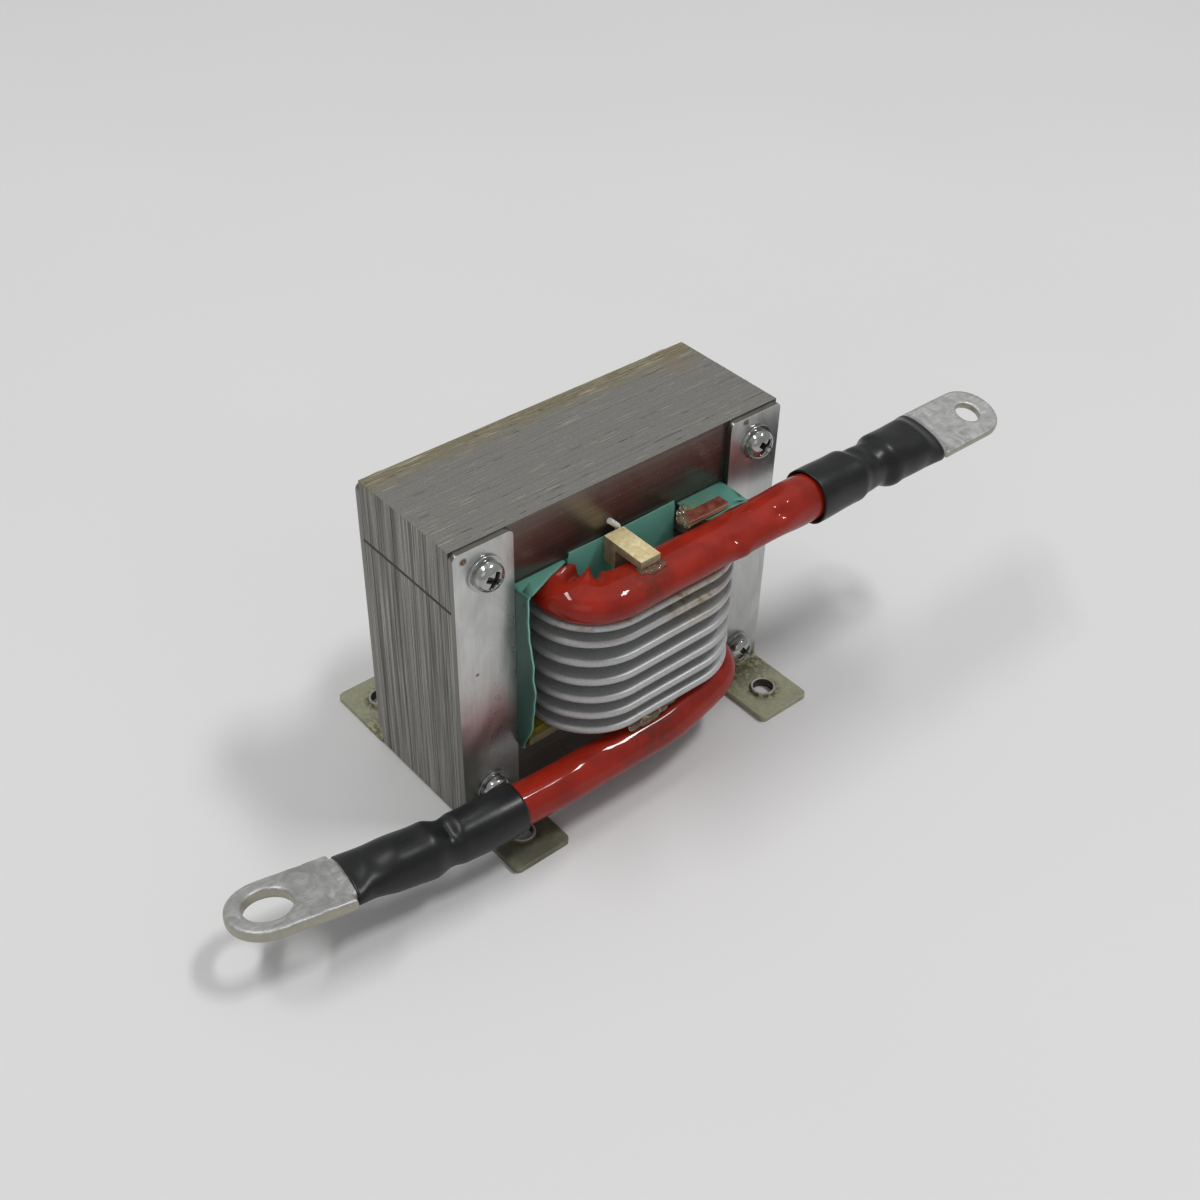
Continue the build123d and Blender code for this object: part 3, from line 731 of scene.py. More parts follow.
class ChokeCoilSettings(bpy.types.PropertyGroup):
    """Bare strip turns."""

    width: length_setting("Strip width", "Strip width", 9.8)
    thickness: length_setting("Strip thickness", "Strip thickness", 2.0)
    edge_radius: length_setting("Edge radius", "Radius of the strip's edges", 0.85)
    strip_colour: colour_setting("Strip colour", "Drawn aluminium", (0.6, 0.6, 0.6))


class ChokeLeadSettings(bpy.types.PropertyGroup):
    """Sleeves, heat-shrink and lugs."""

    lump_height: length_setting("Lump height", "Height of the lumps in the sleeving", 0.14)
    shrink_lump_height: length_setting("Shrink lumps", "Height of the heat-shrink's lumps", 0.3)
    lug_edge_round: length_setting("Lug edge round", "Rounding of the lugs' edges", 0.75)
    lug_dent: length_setting("Lug dents", "Depth of the dents in the pressed tongue", 0.5)
    sleeve_colour: colour_setting("Sleeve colour", "Red sleeving", (0.31, 0.017, 0.007))
    shrink_colour: colour_setting("Shrink colour", "Heat-shrink", (0.0085, 0.009, 0.01))
    lug_colour: colour_setting("Lug colour", "Tinned metal", (0.47, 0.47, 0.46))


class ChokeInsulationSettings(bpy.types.PropertyGroup):
    """Films, boards and blocks."""

    film_thickness: length_setting("Film thickness", "Film thickness", 0.4)
    film_wave: length_setting("Film wave", "How far the film's edge waves", 0.5)
    film_front: length_setting("Film front", "Top of the front panel of the centre leg's film", 66.2)
    bead_colour: colour_setting("Bead colour", "Beads of set varnish", (0.86, 0.76, 0.52))
    film_colour: colour_setting("Film colour", "Green film", (0.115, 0.33, 0.265))


class ChokeStageSettings(bpy.types.PropertyGroup):
    """Floor, lamps and camera."""

    floor_colour: colour_setting("Floor colour", "Plain pale floor", (0.68, 0.675, 0.675))
    lamp_power: bpy.props.FloatProperty(name="Lamp power", description="Rear tube, watts", default=11.0)
    world_level: bpy.props.FloatProperty(name="Room light", description="Light from all round", default=0.39)
    lens: bpy.props.FloatProperty(name="Lens", description="Camera lens, mm", default=46.52)


# Core


def sheet_object(name, outline, thickness, edge):
    """One lamination standing in the XZ plane, with its edges slightly rounded."""
    count = len(outline)
    points = [(x, y, z) for y in (-thickness / 2, thickness / 2) for x, z in outline]
    faces = [tuple(range(count)), tuple(reversed(range(count, 2 * count)))]
    mesh = mesh_from(name, points, faces + grid_faces(2, count, wrap=True), smooth=False)
    return linked(name, with_modifiers(name, mesh, BEVEL=edge_bevel(edge, 1, 40.0)))


def stack_mesh(name, sheet, settings, material, seed):
    """Sheets stood in a row along Y, each a little out of line."""
    tree = Tree(name + "_tree", Sheet="Object", Count="Int", Pitch="Float", Wobble="Float", Seed="Int")
    pitch = 2 * HALF_STACK / settings.sheet_count
    wobble = tree.given["Wobble"]
    start = tree.add("ShaderNodeCombineXYZ", {"Y": (-HALF_STACK + pitch / 2) * MM})
    offset = tree.add("ShaderNodeCombineXYZ", {"Y": tree.given["Pitch"]})
    line = {"Count": tree.given["Count"], "Start Location": start, "Offset": offset}
    row = tree.add("GeometryNodeMeshLine", line, mode="OFFSET")
    less = tree.add("ShaderNodeMath", {0: wobble, 1: -1.0}, operation="MULTIPLY")
    low = tree.add("ShaderNodeCombineXYZ", {"X": less, "Z": less})
    high = tree.add("ShaderNodeCombineXYZ", {"X": wobble, "Z": wobble})
    limits = {0: low, 1: high, "Seed": tree.given["Seed"]}
    shift = tree.add("FunctionNodeRandomValue", limits, data_type="FLOAT_VECTOR")
    moved = tree.add("GeometryNodeSetPosition", {"Geometry": row, "Offset": shift})
    source = tree.add("GeometryNodeObjectInfo", {"Object": tree.given["Sheet"]}, "Geometry")
    placed = tree.add("GeometryNodeInstanceOnPoints", {"Points": moved, "Instance": source})
    values = {"Pitch": pitch * MM, "Wobble": settings.sheet_wobble * MM, "Seed": seed}
    mesh = tree.grow(name, placed, material, Sheet=sheet, Count=settings.sheet_count, **values)
    bpy.data.objects.remove(sheet)
    return mesh


class CHOKE_OT_core(bpy.types.Operator):
    """Builds the laminated core and its gap sheet"""

    bl_idname = "choke.core"
    bl_label = "Core"

    def execute(self, context):
        settings = context.scene.choke_core
        steel = lamination_finish(settings)
        thickness = 2 * HALF_STACK / settings.sheet_count - settings.sheet_gap
        slack = settings.sheet_wobble
        half = HALF_CORE - slack
        top = CORE_TOP - slack
        right = [(half, CORE_LIFT + slack), (half, WINDOW_TOP), (WINDOW_WALL, WINDOW_TOP)]
        right += [(WINDOW_WALL, WINDOW_FLOOR), (HALF_LEG, WINDOW_FLOOR), (HALF_LEG, WINDOW_TOP)]
        outlines = {
            "e": right + [(-x, z) for x, z in reversed(right)],
            "i": [(-half, YOKE_FLOOR), (half, YOKE_FLOOR), (half, top), (-half, top)],
        }
        for number, (letter, outline) in enumerate(outlines.items()):
            name = letter + "_laminations"
            sheet = sheet_object(name + "_sheet", outline, thickness, settings.edge_round)
            mesh = stack_mesh(name, sheet, settings, steel, settings.seed + number)
            finished(name, mesh, None, "lamination_steel", "core_" + letter + "_stack")
        board = plain_finish("gap_board", (0.02, 0.017, 0.012), (0.05, 0.04, 0.028), 0.3, 0.6)
        paint_node("gap_spacer", board)
        return {"FINISHED"}


# Straps and fasteners


class CHOKE_OT_straps(bpy.types.Operator):
    """Builds the four foot straps"""

    bl_idname = "choke.straps"
    bl_label = "Foot straps"

    def execute(self, context):
        settings = context.scene.choke_straps
        zinc = zinc_finish("zinc_plate", settings, True)
        for end in ("front", "rear"):
            for side in ("left", "right"):
                node = "bracket_" + end + "_" + side
                mesh = softened_copy(node, settings.edge_round)
                finished(node.replace("bracket", "strap"), mesh, zinc, "zinc_plate", node)
        rims = [collar_mesh(side, end, settings.collar_height) for side in (-1, 1) for end in (-1, 1)]
        finished("foot_collars", joined(rims), zinc, "zinc_plate")
        return {"FINISHED"}


def collar_mesh(side, end, height):
    """A raised rim round a foot's hole: a closed section turned about the hole."""
    section = ((0.0, -0.1), (0.0, 0.8), (0.2, 1.0), (0.5, 1.0), (0.75, 0.7), (0.85, -0.1))
    around = 40
    hole_x, hole_y, hole = FOOT_HOLE
    points = []
    for x, y in circle(around):
        for out, up in section:
            radius = hole + out
            points.append((side * hole_x + radius * x, end * hole_y + radius * y, FOOT_TOP + height * up))
    mesh = mesh_from("foot_collar", points, grid_faces(around, len(section), wrap=True, closed=True))
    shade_by_angle(mesh, 50.0)
    return mesh


HEAD_RADIUS = 3.68
HEAD_HEIGHT = 2.3
HEAD_TURNS = (0.2, 0.55, 1.0, 0.75)


def screw_head_mesh(depth):
    """A pan head on the XZ plane, domed towards -Y, with a tapered cross recess."""
    rings = 34
    around = 96
    arm_half = 0.62
    arm_reach = 2.25
    points = [(0.0, depth - HEAD_HEIGHT, 0.0)]
    hollow = [1.0]
    for i in range(1, rings + 1):
        dome = HEAD_HEIGHT * (1 - (i / rings) ** 2.6) ** 0.5
        for x, z in circle(around, HEAD_RADIUS * i / rings):
            narrow, reach = sorted((abs(x), abs(z)))
            cross = within((arm_half + 0.12 - narrow) / 0.22) * within((arm_reach - reach) / 0.5)
            points.append((x, depth * cross - dome, z))
            hollow.append(cross)
    faces = [(0, 1 + j, 1 + (j + 1) % around) for j in range(around)]
    faces += grid_faces(rings, around, wrap=True, first=1)
    faces.append(tuple(range(len(points) - around, len(points))))
    mesh = mesh_from("screw_head", points, faces, marks={"recess": hollow})
    shade_by_angle(mesh, 50.0)
    return mesh


class CHOKE_OT_fasteners(bpy.types.Operator):
    """Builds the screws, washers and nuts at the four corners"""

    bl_idname = "choke.fasteners"
    bl_label = "Screws, washers and nuts"

    def execute(self, context):
        settings = context.scene.choke_straps
        zinc = zinc_finish("zinc_screw", settings, False)
        edges = {"spring_washer": 0.15, "flat_washer": 0.15, "rear_washer": 0.15, "nut": 0.25}
        for kind, edge in edges.items():
            for corner in CORNERS:
                node = kind + "_" + corner
                finished(node.replace("washer", "ring"), softened_copy(node, edge), zinc, "zinc_screw", node)
        head = screw_head_mesh(settings.recess_depth)
        for corner, angle in zip(CORNERS, HEAD_TURNS):
            node = "screw_" + corner
            low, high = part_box(node)
            middle = (low + high) / 2
            seat = low.y + HEAD_HEIGHT * MM
            shape = head.copy()
            turn = Matrix.Rotation(angle, 4, "Y")
            shape.transform(Matrix.Translation((middle.x, seat, middle.z)) @ turn)
            shank = screw_shank(middle / MM, seat / MM + 0.1, high.y / MM)
            finished("pan_" + node, joined([shape, shank]), zinc, "zinc_screw", node)
        return {"FINISHED"}


def screw_shank(middle, start, end):
    """A threaded shank along Y: a lathe profile of crests and roots."""
    pitch = 0.7
    crest = 1.98
    root = 1.68
    profile = []
    while start < end - pitch:
        profile += [(start, root), (start + 0.45 * pitch, crest), (start + 0.6 * pitch, crest)]
        start += pitch
    profile += [(end - 0.4, root), (end, 1.3)]
    rings = [[(middle.x + x, y, middle.z + z) for x, z in circle(24, size)] for y, size in profile]
    return ring_mesh("shank", rings)


# Coil


FIRST_TURN = 18.5
TURN_GAPS = (2.7, 2.7, 3.1, 3.5, 3.7, 3.7, 2.7, 4.0)
LEFT_X = -21.4
RIGHT_X = 25.1
TURN_Y = 29.35
TURN_RADIUS = 11.9
MOUTH_Y = -17.95


def bend(x, y, start, height):
    """A quarter of a level circle at the coil's corner radius."""
    return [(*place, height) for place in arc((x, y), TURN_RADIUS, start, start + 90, 14)]


def straight(first, second):
    """Points about 3 mm apart between two ends, without the ends."""
    first = Vector(first)
    second = Vector(second)
    count = max(1, int((second - first).length / 3.0))
    return [tuple(first.lerp(second, i / count)) for i in range(1, count)]


def coil_path(thickness):
    """The strip's centre line, from the lower sleeve round every turn to the upper sleeve."""
    heights = [FIRST_TURN]
    for gap in TURN_GAPS:
        heights.append(heights[-1] + thickness + gap)
    right = RIGHT_X - TURN_RADIUS
    left = LEFT_X + TURN_RADIUS
    y = TURN_Y - TURN_RADIUS
    points = [(RIGHT_X, MOUTH_Y - 2.0, FIRST_TURN)]
    points += straight(points[0], (RIGHT_X, y, FIRST_TURN))
    points += bend(right, y, 0, FIRST_TURN)
    for low, high in zip(heights, heights[1:]):
        points += straight((right, TURN_Y, low), (left, TURN_Y, high))
        points += bend(left, y, 90, high)
        if high == heights[-1]:
            break
        points += straight((LEFT_X, y, high), (LEFT_X, -y, high))
        points += bend(left, -y, 180, high)
        points += straight((left, -TURN_Y, high), (right, -TURN_Y, high))
        points += bend(right, -y, 270, high)
        points += straight((RIGHT_X, -y, high), (RIGHT_X, y, high))
        points += bend(right, y, 0, high)
    end = (LEFT_X, MOUTH_Y - 2.0, high)
    return [*points, *straight((LEFT_X, y, high), end), end]


def poly_curve(name, dimensions, *loops):
    """A curve of straight lines through points in millimetres, closed if it is flat."""
    curve = bpy.data.curves.new(name, "CURVE")
    curve.dimensions = dimensions
    for loop in loops:
        spline = curve.splines.new("POLY")
        spline.points.add(len(loop) - 1)
        for point, place in zip(spline.points, loop):
            point.co = (*(Vector(place) * MM).to_3d(), 1.0)
        spline.use_cyclic_u = dimensions == "2D"
    return curve


class CHOKE_OT_coil(bpy.types.Operator):
    """Builds the bare strip turns"""

    bl_idname = "choke.coil"
    bl_label = "Strip coil"

    def execute(self, context):
        settings = context.scene.choke_coil
        sag = 0.12
        points = coil_path(settings.thickness)
        points = [(x, y, z + sag * wander((x, y, z), 14.0, 3.0)) for x, y, z in points]
        path = linked("strip_path", poly_curve("strip_path", "3D", points))
        tree = Tree("strip_tree", Path="Object", Width="Float", Thickness="Float", Radius="Float")
        source = tree.add("GeometryNodeObjectInfo", {"Object": tree.given["Path"]}, "Geometry")
        level = tree.add("GeometryNodeSetCurveNormal", {"Curve": source}, mode="Z_UP")
        along = tree.add("GeometryNodeSplineParameter", {}, "Length")
        run = tree.add("ShaderNodeMath", {0: along, 1: 1 / MM}, operation="MULTIPLY")
        sizes = {"Width": tree.given["Width"], "Height": tree.given["Thickness"]}
        section = tree.add("GeometryNodeCurvePrimitiveQuadrilateral", sizes)
        corners = {"Curve": section, "Radius": tree.given["Radius"], "Count": 5}
        rounded = tree.add("GeometryNodeFilletCurve", corners, mode="POLY")
        turn = tree.add("GeometryNodeSplineParameter", {}, "Factor")
        lines = tree.marked(level, "run", run)
        profile = tree.marked(rounded, "turn", turn)
        sweep = {"Curve": lines, "Profile Curve": profile, "Fill Caps": True}
        swept = tree.add("GeometryNodeCurveToMesh", sweep)
        smooth = tree.add("GeometryNodeSetShadeSmooth", {"Geometry": swept})
        sizes = {"Width": settings.width, "Thickness": settings.thickness, "Radius": settings.edge_radius}
        sizes = {label: size * MM for label, size in sizes.items()}
        mesh = tree.grow("strip_turns", smooth, strip_finish(settings), Path=path, **sizes)
        bpy.data.objects.remove(path)
        finished("strip_turns", mesh, None, "bare_strip", "winding")
        return {"FINISHED"}


# Leads


# Sizes are half widths and heights at a distance from the mouth, or back from the lug's root.
# Folds and creases are a place, an angle round the lead, a height, and spreads along and round it.
# A lug has a length, a width, a thickness and a hole.
LEADS = {
    "lower": {
        "route": (
            (25.1, -17.95, 18.5),
            (25.1, -28.25, 16.3),
            (4.0, -32.55, 14.4),
            (-30.0, -32.15, 13.8),
            (-60.0, -29.95, 13.2),
            (-87.5, -25.25, 14.7),
        ),
        "radii": (8.5, 60.0, 150.0, 90.0),
        "mouth": ((0.0, 6.3, 2.75), (3.0, 6.3, 3.0), (9.0, 5.9, 4.4), (15.0, 5.5, 5.3), (24.0, 5.3, 5.3)),
        "tail": ((28.0, 5.2, 5.2),),
        "folds": (
            (52.0, 50.0, -0.4, 4.5, 30.0),
            (60.0, 70.0, 0.3, 5.0, 30.0),
            (78.0, 200.0, 0.8, 3.0, 35.0),
        ),
        "shrink": (
            (45.5, 5.9, 5.9),
            (29.5, 5.9, 5.9),
            (26.0, 5.35, 5.3),
            (21.5, 6.3, 6.2),
            (14.0, 6.6, 5.8),
            (7.0, 7.0, 4.4),
            (2.5, 8.3, 3.2),
        ),
        "creases": (
            (27.0, 75.0, -0.9, 1.6, 30.0),
            (22.0, 100.0, 0.5, 2.5, 40.0),
            (13.0, 250.0, 0.6, 5.0, 50.0),
        ),
        "roll": 12.0,
        "lug": (15.6, 19.0, 3.0, 11.0),
        "dent": 1.0,
    },
    "upper": {
        "route": ((-21.4, -17.95, 60.6), (-21.4, -30.05, 60.6), (34.0, -29.95, 60.6), (93.0, -29.45, 59.3)),
        "radii": (9.5, 400.0),
        "mouth": ((0.0, 6.3, 3.5), (8.0, 6.4, 4.55)),
        "tail": ((60.0, 6.4, 4.6), (50.0, 6.0, 5.9), (28.0, 5.6, 5.4)),
        "folds": (
            (1.0, 52.0, 1.9, 1.1, 24.0),
            (4.2, 58.0, -2.4, 1.7, 30.0),
            (9.0, 44.0, 2.3, 1.7, 24.0),
            (13.0, 50.0, -1.0, 1.8, 30.0),
            (16.5, 30.0, 0.8, 2.0, 30.0),
            (48.0, 138.0, -0.7, 1.8, 14.0),
            (50.5, 185.0, 0.7, 2.4, 22.0),
            (63.5, 133.0, -1.0, 1.7, 15.0),
            (66.5, 118.0, 0.6, 2.0, 18.0),
        ),
        "shrink": (
            (45.5, 6.75, 6.65),
            (31.0, 6.7, 6.6),
            (27.5, 5.9, 5.8),
            (22.5, 5.7, 5.55),
            (19.5, 6.9, 6.4),
            (8.5, 7.3, 5.8),
            (3.2, 8.3, 3.5),
        ),
        "creases": (
            (29.5, 70.0, -0.7, 1.5, 30.0),
            (24.5, 110.0, -0.6, 1.5, 30.0),
            (18.5, 200.0, 0.5, 2.0, 40.0),
        ),
        "roll": 14.0,
        "lug": (15.6, 16.4, 2.0, 6.4),
        "dent": 0.3,
    },
}
SLEEVE_END = 30.0
LUG_VOXEL = 0.3
BEAD_VOXEL = 0.22


def from_root(length, rows):
    """Rows that count back from the lug's root, with their places along the route instead."""
    return [(length - back, *rest) for back, *rest in rows]


def lead_mesh(name, route, stations, start, end, lump, seed, roll=0.0, power=2.0, folds=()):
    """A lumpy sleeve through elliptical stations, with rounded lips at both ends."""
    lump_scale = 9.0
    roll_length = 22.0
    around = 56
    step = 0.55
    count = int((end - start) / step)
    rings = []
    for i in range(count + 1):
        place = start + (end - start) * i / count
        share = within((place - (route.length - roll_length)) / roll_length)
        centre, along, level, upward = route.frame(place, roll * share)
        half_width, half_height = between(stations, place)
        ring = []
        for j, (x, z) in enumerate(circle(around)):
            x = math.copysign(abs(x) ** (2 / power), x) * half_width
            z = math.copysign(abs(z) ** (2 / power), z) * half_height
            outward = level * x + upward * z
            swell = lump * wander(centre + outward, lump_scale, seed)
            for fold_place, fold_angle, height, width, spread in folds:
                off = (360 * j / around - fold_angle + 180) % 360 - 180
                swell += height * math.exp(-(((place - fold_place) / width) ** 2) - (off / spread) ** 2)
            ring.append(centre + outward + outward.normalized() * swell)
        rings.append(ring)
    return ring_mesh(name, lip(rings[0], rings[2]) + rings + lip(rings[-1], rings[-3])[::-1])


def lip(edge, inner):
    """Two smaller rings that turn the wall's end inwards, listed from the inside out."""
    centre = sum(edge, Vector()) / len(edge)
    inwards = (sum(inner, Vector()) / len(inner) - centre).normalized()
    inside = [centre.lerp(point, 0.86) + inwards * 1.6 for point in edge]
    turned = [centre.lerp(point, 0.94) - inwards * 0.15 for point in edge]
    return [inside, turned]


def tongue_mesh(name, length, width, thickness, hole, edge):
    """A flat tongue with a rounded end and a bolt hole, with soft edges, along +X."""
    overlap = 1.5
    end = arc((length, 0.0), width / 2, -90, 90, 40)
    outline = [(-overlap, -width / 2), *end, (-overlap, width / 2)]
    ring = [(length + x, y) for x, y in circle(64, hole / 2)]
    curve = poly_curve(name, "2D", outline, ring)
    curve.fill_mode = "BOTH"
    curve.extrude = (thickness / 2 - edge) * MM
    curve.bevel_depth = edge * MM
    curve.bevel_resolution = 3
    curve.offset = -edge * MM
    mesh = baked(linked(name + "_holder", curve))
    merged(mesh, 0.0005)
    return mesh


def skinned(name, mesh, voxel, repeats):
    """A mesh run into one skin over small cubes, and smoothed."""
    skin = {"mode": "VOXEL", "voxel_size": voxel * MM, "use_smooth_shade": True}
    return with_modifiers(name, mesh, REMESH=skin, SMOOTH={"factor": 0.5, "iterations": repeats})


def lug_mesh(name, route, roll, sizes, edge, dent):
    """A tube pressed flat into a tongue, run into one skin and dented where it was pressed."""
    _, width, thickness, _ = sizes
    root, along, level, upward = route.frame(route.length, roll)
    tongue = tongue_mesh("tongue_" + name, *sizes, edge)
    place = Matrix((along, upward.cross(along), upward)).transposed().to_4x4()
    place.translation = root * MM
    tongue.transform(place)
    half = width / 2
    rise = thickness / 2
    sections = ((14.0, 5.3, 4.5), (9.0, 5.3, 4.0), (4.5, 6.9, 2.9), (2.5, 7.4, 2.5))
    sections += ((0.0, half - 0.6, rise + 0.5), (-3.0, half - 1.2, rise - 0.2))
    end = route.length
    stations = from_root(end, sections)
    barrel = lead_mesh("barrel_" + name, route, stations, end - 12.0, end + 2.4, 0.05, 4.0, roll, 3.2)
    mesh = skinned(name, joined([tongue, barrel]), LUG_VOXEL, 3)
    turned = place.inverted()
    for vert in mesh.vertices:
        local = turned @ vert.co / MM
        pressed = math.exp(-((local.x - 2.0) / 5.0) ** 2)
        swell = dent * (0.1 + pressed) * wander((local.x, local.y * 0.6, 0.0), 3.2, 2.0)
        swell += 0.12 * dent * wander(local, 1.5, 7.0)
        if local.z < 0:
            swell = -0.4 * swell
        vert.co += upward * swell * MM
    return mesh


class CHOKE_OT_leads(bpy.types.Operator):
    """Builds the red sleeves, the heat-shrink and the ring lugs"""

    bl_idname = "choke.leads"
    bl_label = "Leads"

    def execute(self, context):
        settings = context.scene.choke_leads
        red = sleeve_finish(settings)
        black = shrink_finish(settings)
        tin = lug_finish(settings)
        for seed, (name, lead) in enumerate(LEADS.items(), 1):
            route = Route(lead["route"], lead["radii"])
            length = route.length
            roll = lead["roll"]
            piece = "red_sleeve_" + name
            stations = sorted([*lead["mouth"], *from_root(length, lead["tail"])])
            end = length - SLEEVE_END
            lump = settings.lump_height * seed / 2
            mesh = lead_mesh(piece, route, stations, 0.0, end, lump, seed, folds=lead["folds"])
            finished(piece, mesh, red, "red_sleeving", "lead_sleeve_" + name)
            piece = "black_shrink_" + name
            stations = from_root(length, lead["shrink"])
            start = stations[0][0]
            end = stations[-1][0] + 0.4
            lump = settings.shrink_lump_height
            creases = from_root(length, lead["creases"])
            mesh = lead_mesh(piece, route, stations, start, end, lump, seed + 6, roll, 2.3, creases)
            finished(piece, mesh, black, "black_shrink", "heat_shrink_" + name)
            edge = settings.lug_edge_round * lead["lug"][2] / 3.0
            mesh = lug_mesh(name, route, roll, lead["lug"], edge, settings.lug_dent * lead["dent"])
            finished("tinned_lug_" + name, mesh, tin, "tinned_lug", "ring_lug_" + name)
        return {"FINISHED"}


# Insulation


def film_mesh(name, rows, points, insets, thickness):
    """Film round a grid of points, marked with the distance from its front rim."""
    mesh = mesh_from(name, points, grid_faces(rows, len(points) // rows), marks={"inset": insets})
    solid = {"thickness": thickness * MM, "offset": 0.0, "use_even_offset": True}
    mesh = with_modifiers(name, mesh, SOLIDIFY=solid)
    shade_by_angle(mesh, 50.0)
    return mesh


def liner_path(inner, outer, top, base, fold):
    """The folded film's section: top flap, outer wall and floor, each point with its part."""
    edge = outer - fold
    flap = [(inner + (edge - inner) * i / 14, top) for i in range(15)]
    wall = arc((edge, top - fold), fold, 90, 0, 5)[1:-1]
    wall += [(outer, top - fold - (top - base - 2 * fold) * i / 48) for i in range(49)]
    wall += arc((edge, base + fold), fold, 0, -90, 5)[1:-1]
    floor = [(x, base) for x, _ in reversed(flap)]
    return [(x, z, part) for part, run in (("flap", flap), ("wall", wall), ("floor", floor)) for x, z in run]


def liner_mesh(name, side, wall_reaches, flap_reaches, wave, thickness, seed):
    """Film folded round one window, from its top flap down the outer wall to its floor."""
    back = HALF_STACK + 3.0
    inner = HALF_LEG + 1.2
    outer = WINDOW_WALL - thickness / 2
    top = WINDOW_TOP - thickness / 2
    flap_round = 3.0
    columns = 34
    step = (WINDOW_TOP - WINDOW_FLOOR) / (len(wall_reaches) - 1)
    reaches = [(WINDOW_FLOOR + i * step, reach) for i, reach in enumerate(wall_reaches)]
    path = liner_path(inner, outer, top, WINDOW_FLOOR + thickness / 2, 0.8)
    points = []
    insets = []
    for x, z, part in path:
        flap = flap_reaches[0] + (flap_reaches[1] - flap_reaches[0]) * (x - inner) / (outer - inner)
        if part == "flap":
            reach = flap
            if x - inner < flap_round < flap:
                reach -= flap_round - math.sqrt(flap_round ** 2 - (flap_round - x + inner) ** 2)
        elif part == "floor":
            reach = wall_reaches[0] * max(0.0, 1.0 - (outer - x) / 2.0)
        else:
            reach = between(reaches, z)[0]
            reach += max(0.0, flap - reach) * within((z - (top - 3.0)) / 3.0)
        reach = max(reach + wave * wander((x, z, 0.0), 4.0, seed) * min(reach / 3.0, 1.0), 0.0)
        front = -HALF_STACK - reach
        for j in range(columns):
            y = back + (front - back) * j / (columns - 1)
            outside = max(0.0, -HALF_STACK - y)
            lean = 0.0
            droop = 0.0
            if part == "wall":
                lean = 0.014 * outside * outside * (0.5 + wander((x, y, z), 12.0, seed + 4))
            elif part == "flap":
                droop = 0.012 * outside * outside * (0.4 + wander((x, y, z), 9.0, seed + 2))
            points.append((side * (x - max(lean, 0.0)), y, z - max(droop, 0.0)))
            insets.append(y - front if reach > 1.0 else 5.0)
    return film_mesh(name, len(path), points, insets, thickness)


def leg_film_mesh(name, thickness, front_top):
    """Film wrapped round the centre leg, with its front panel standing up in front of the core."""
    half_x = HALF_LEG + 0.25
    half_y = HALF_STACK + 0.25
    corner = 0.4
    flat_x = half_x - corner
    flat_y = half_y - corner
    loop = []
    for x, y, start in ((1, -1, 270), (1, 1, 0), (-1, 1, 90), (-1, -1, 180)):
        loop += arc((x * flat_x, y * flat_y), corner, start, start + 90, 3)
    loop += [(-flat_x + 2 * flat_x * i / 24, -half_y) for i in range(1, 24)]
    loop.append(loop[0])
    rows = 30
    points = []
    insets = []
    for i in range(rows):
        share = i / (rows - 1)
        for x, y in loop:
            ahead = y <= -half_y
            top = front_top if ahead else WINDOW_TOP - 0.2
            z = WINDOW_FLOOR + 0.2 + (top - WINDOW_FLOOR - 0.2) * share
            bulge = 0.25 * share * (1 - (x / half_x) ** 2) if ahead else 0.0
            points.append((x, y - bulge, z))
            insets.append(top - z)
    return film_mesh(name, rows, points, insets, thickness)


def bead_mesh(name, beads, seed):
    """Drops of set varnish run together into one rough skin."""
    shape = bmesh.new()
    for x, y, z, wide, deep, high in beads:
        middle = Vector((x, y, z))
        for vert in bmesh.ops.create_icosphere(shape, subdivisions=3, radius=1.0)["verts"]:
            point = middle + vert.co * Vector((wide, deep, high))
            vert.co = middle.lerp(point, 1 + 0.3 * wander(point, 2.0, seed)) * MM
    mesh = bpy.data.meshes.new(name)
    shape.to_mesh(mesh)
    shape.free()
    return skinned(name, mesh, BEAD_VOXEL, 5)


# Drops of varnish: middle and half sizes
BEADS = (
    # Under the block's front end, on the upper sleeve
    (-6.3, -31.0, 65.0, 1.2, 1.6, 0.7),
    (-4.8, -31.9, 64.9, 1.6, 1.2, 0.7),
    (-2.8, -32.1, 64.8, 1.7, 1.1, 0.6),
    (-1.0, -31.2, 65.0, 1.2, 1.6, 0.7),
    (-0.7, -28.6, 65.2, 0.8, 1.8, 0.6),
    # At the shim's inner end
    (12.9, -23.2, 65.7, 1.5, 1.8, 1.2),
    (14.2, -21.7, 66.2, 1.5, 1.2, 0.9),
    (12.7, -24.9, 65.1, 1.0, 1.0, 0.9),
    (16.2, -20.3, 65.6, 1.4, 1.5, 0.6),
    # Between the lowest full turn and the lower sleeve
    (-8.5, -33.4, 20.4, 1.9, 1.0, 1.1),
    (-5.6, -33.7, 20.3, 1.8, 0.9, 1.2),
    (-2.6, -33.6, 20.6, 2.0, 0.9, 1.1),
    (0.4, -33.4, 21.0, 1.9, 0.9, 1.0),
    (3.2, -33.2, 21.5, 1.7, 0.8, 0.8),
    # Between the uppermost turn and the upper sleeve
    (-8.6, -33.3, 56.0, 1.8, 0.7, 0.5),
    (-6.2, -33.4, 56.0, 1.9, 0.7, 0.5),
    # On the rear straps' tops
    (-42.6, 17.4, 80.3, 2.6, 0.8, 0.8),
    (-39.4, 17.3, 80.0, 2.6, 0.7, 0.45),
    (36.4, 17.3, 80.0, 2.4, 0.7, 0.45),
    (40.6, 17.4, 80.4, 3.0, 0.8, 0.8),
    # In the corner of the right foot's bend
    (36.0, -19.4, 2.3, 1.5, 1.0, 0.7),
    (38.8, -19.2, 2.4, 1.6, 1.0, 0.8),
    (33.8, -20.2, 2.0, 1.2, 1.3, 0.5),
)


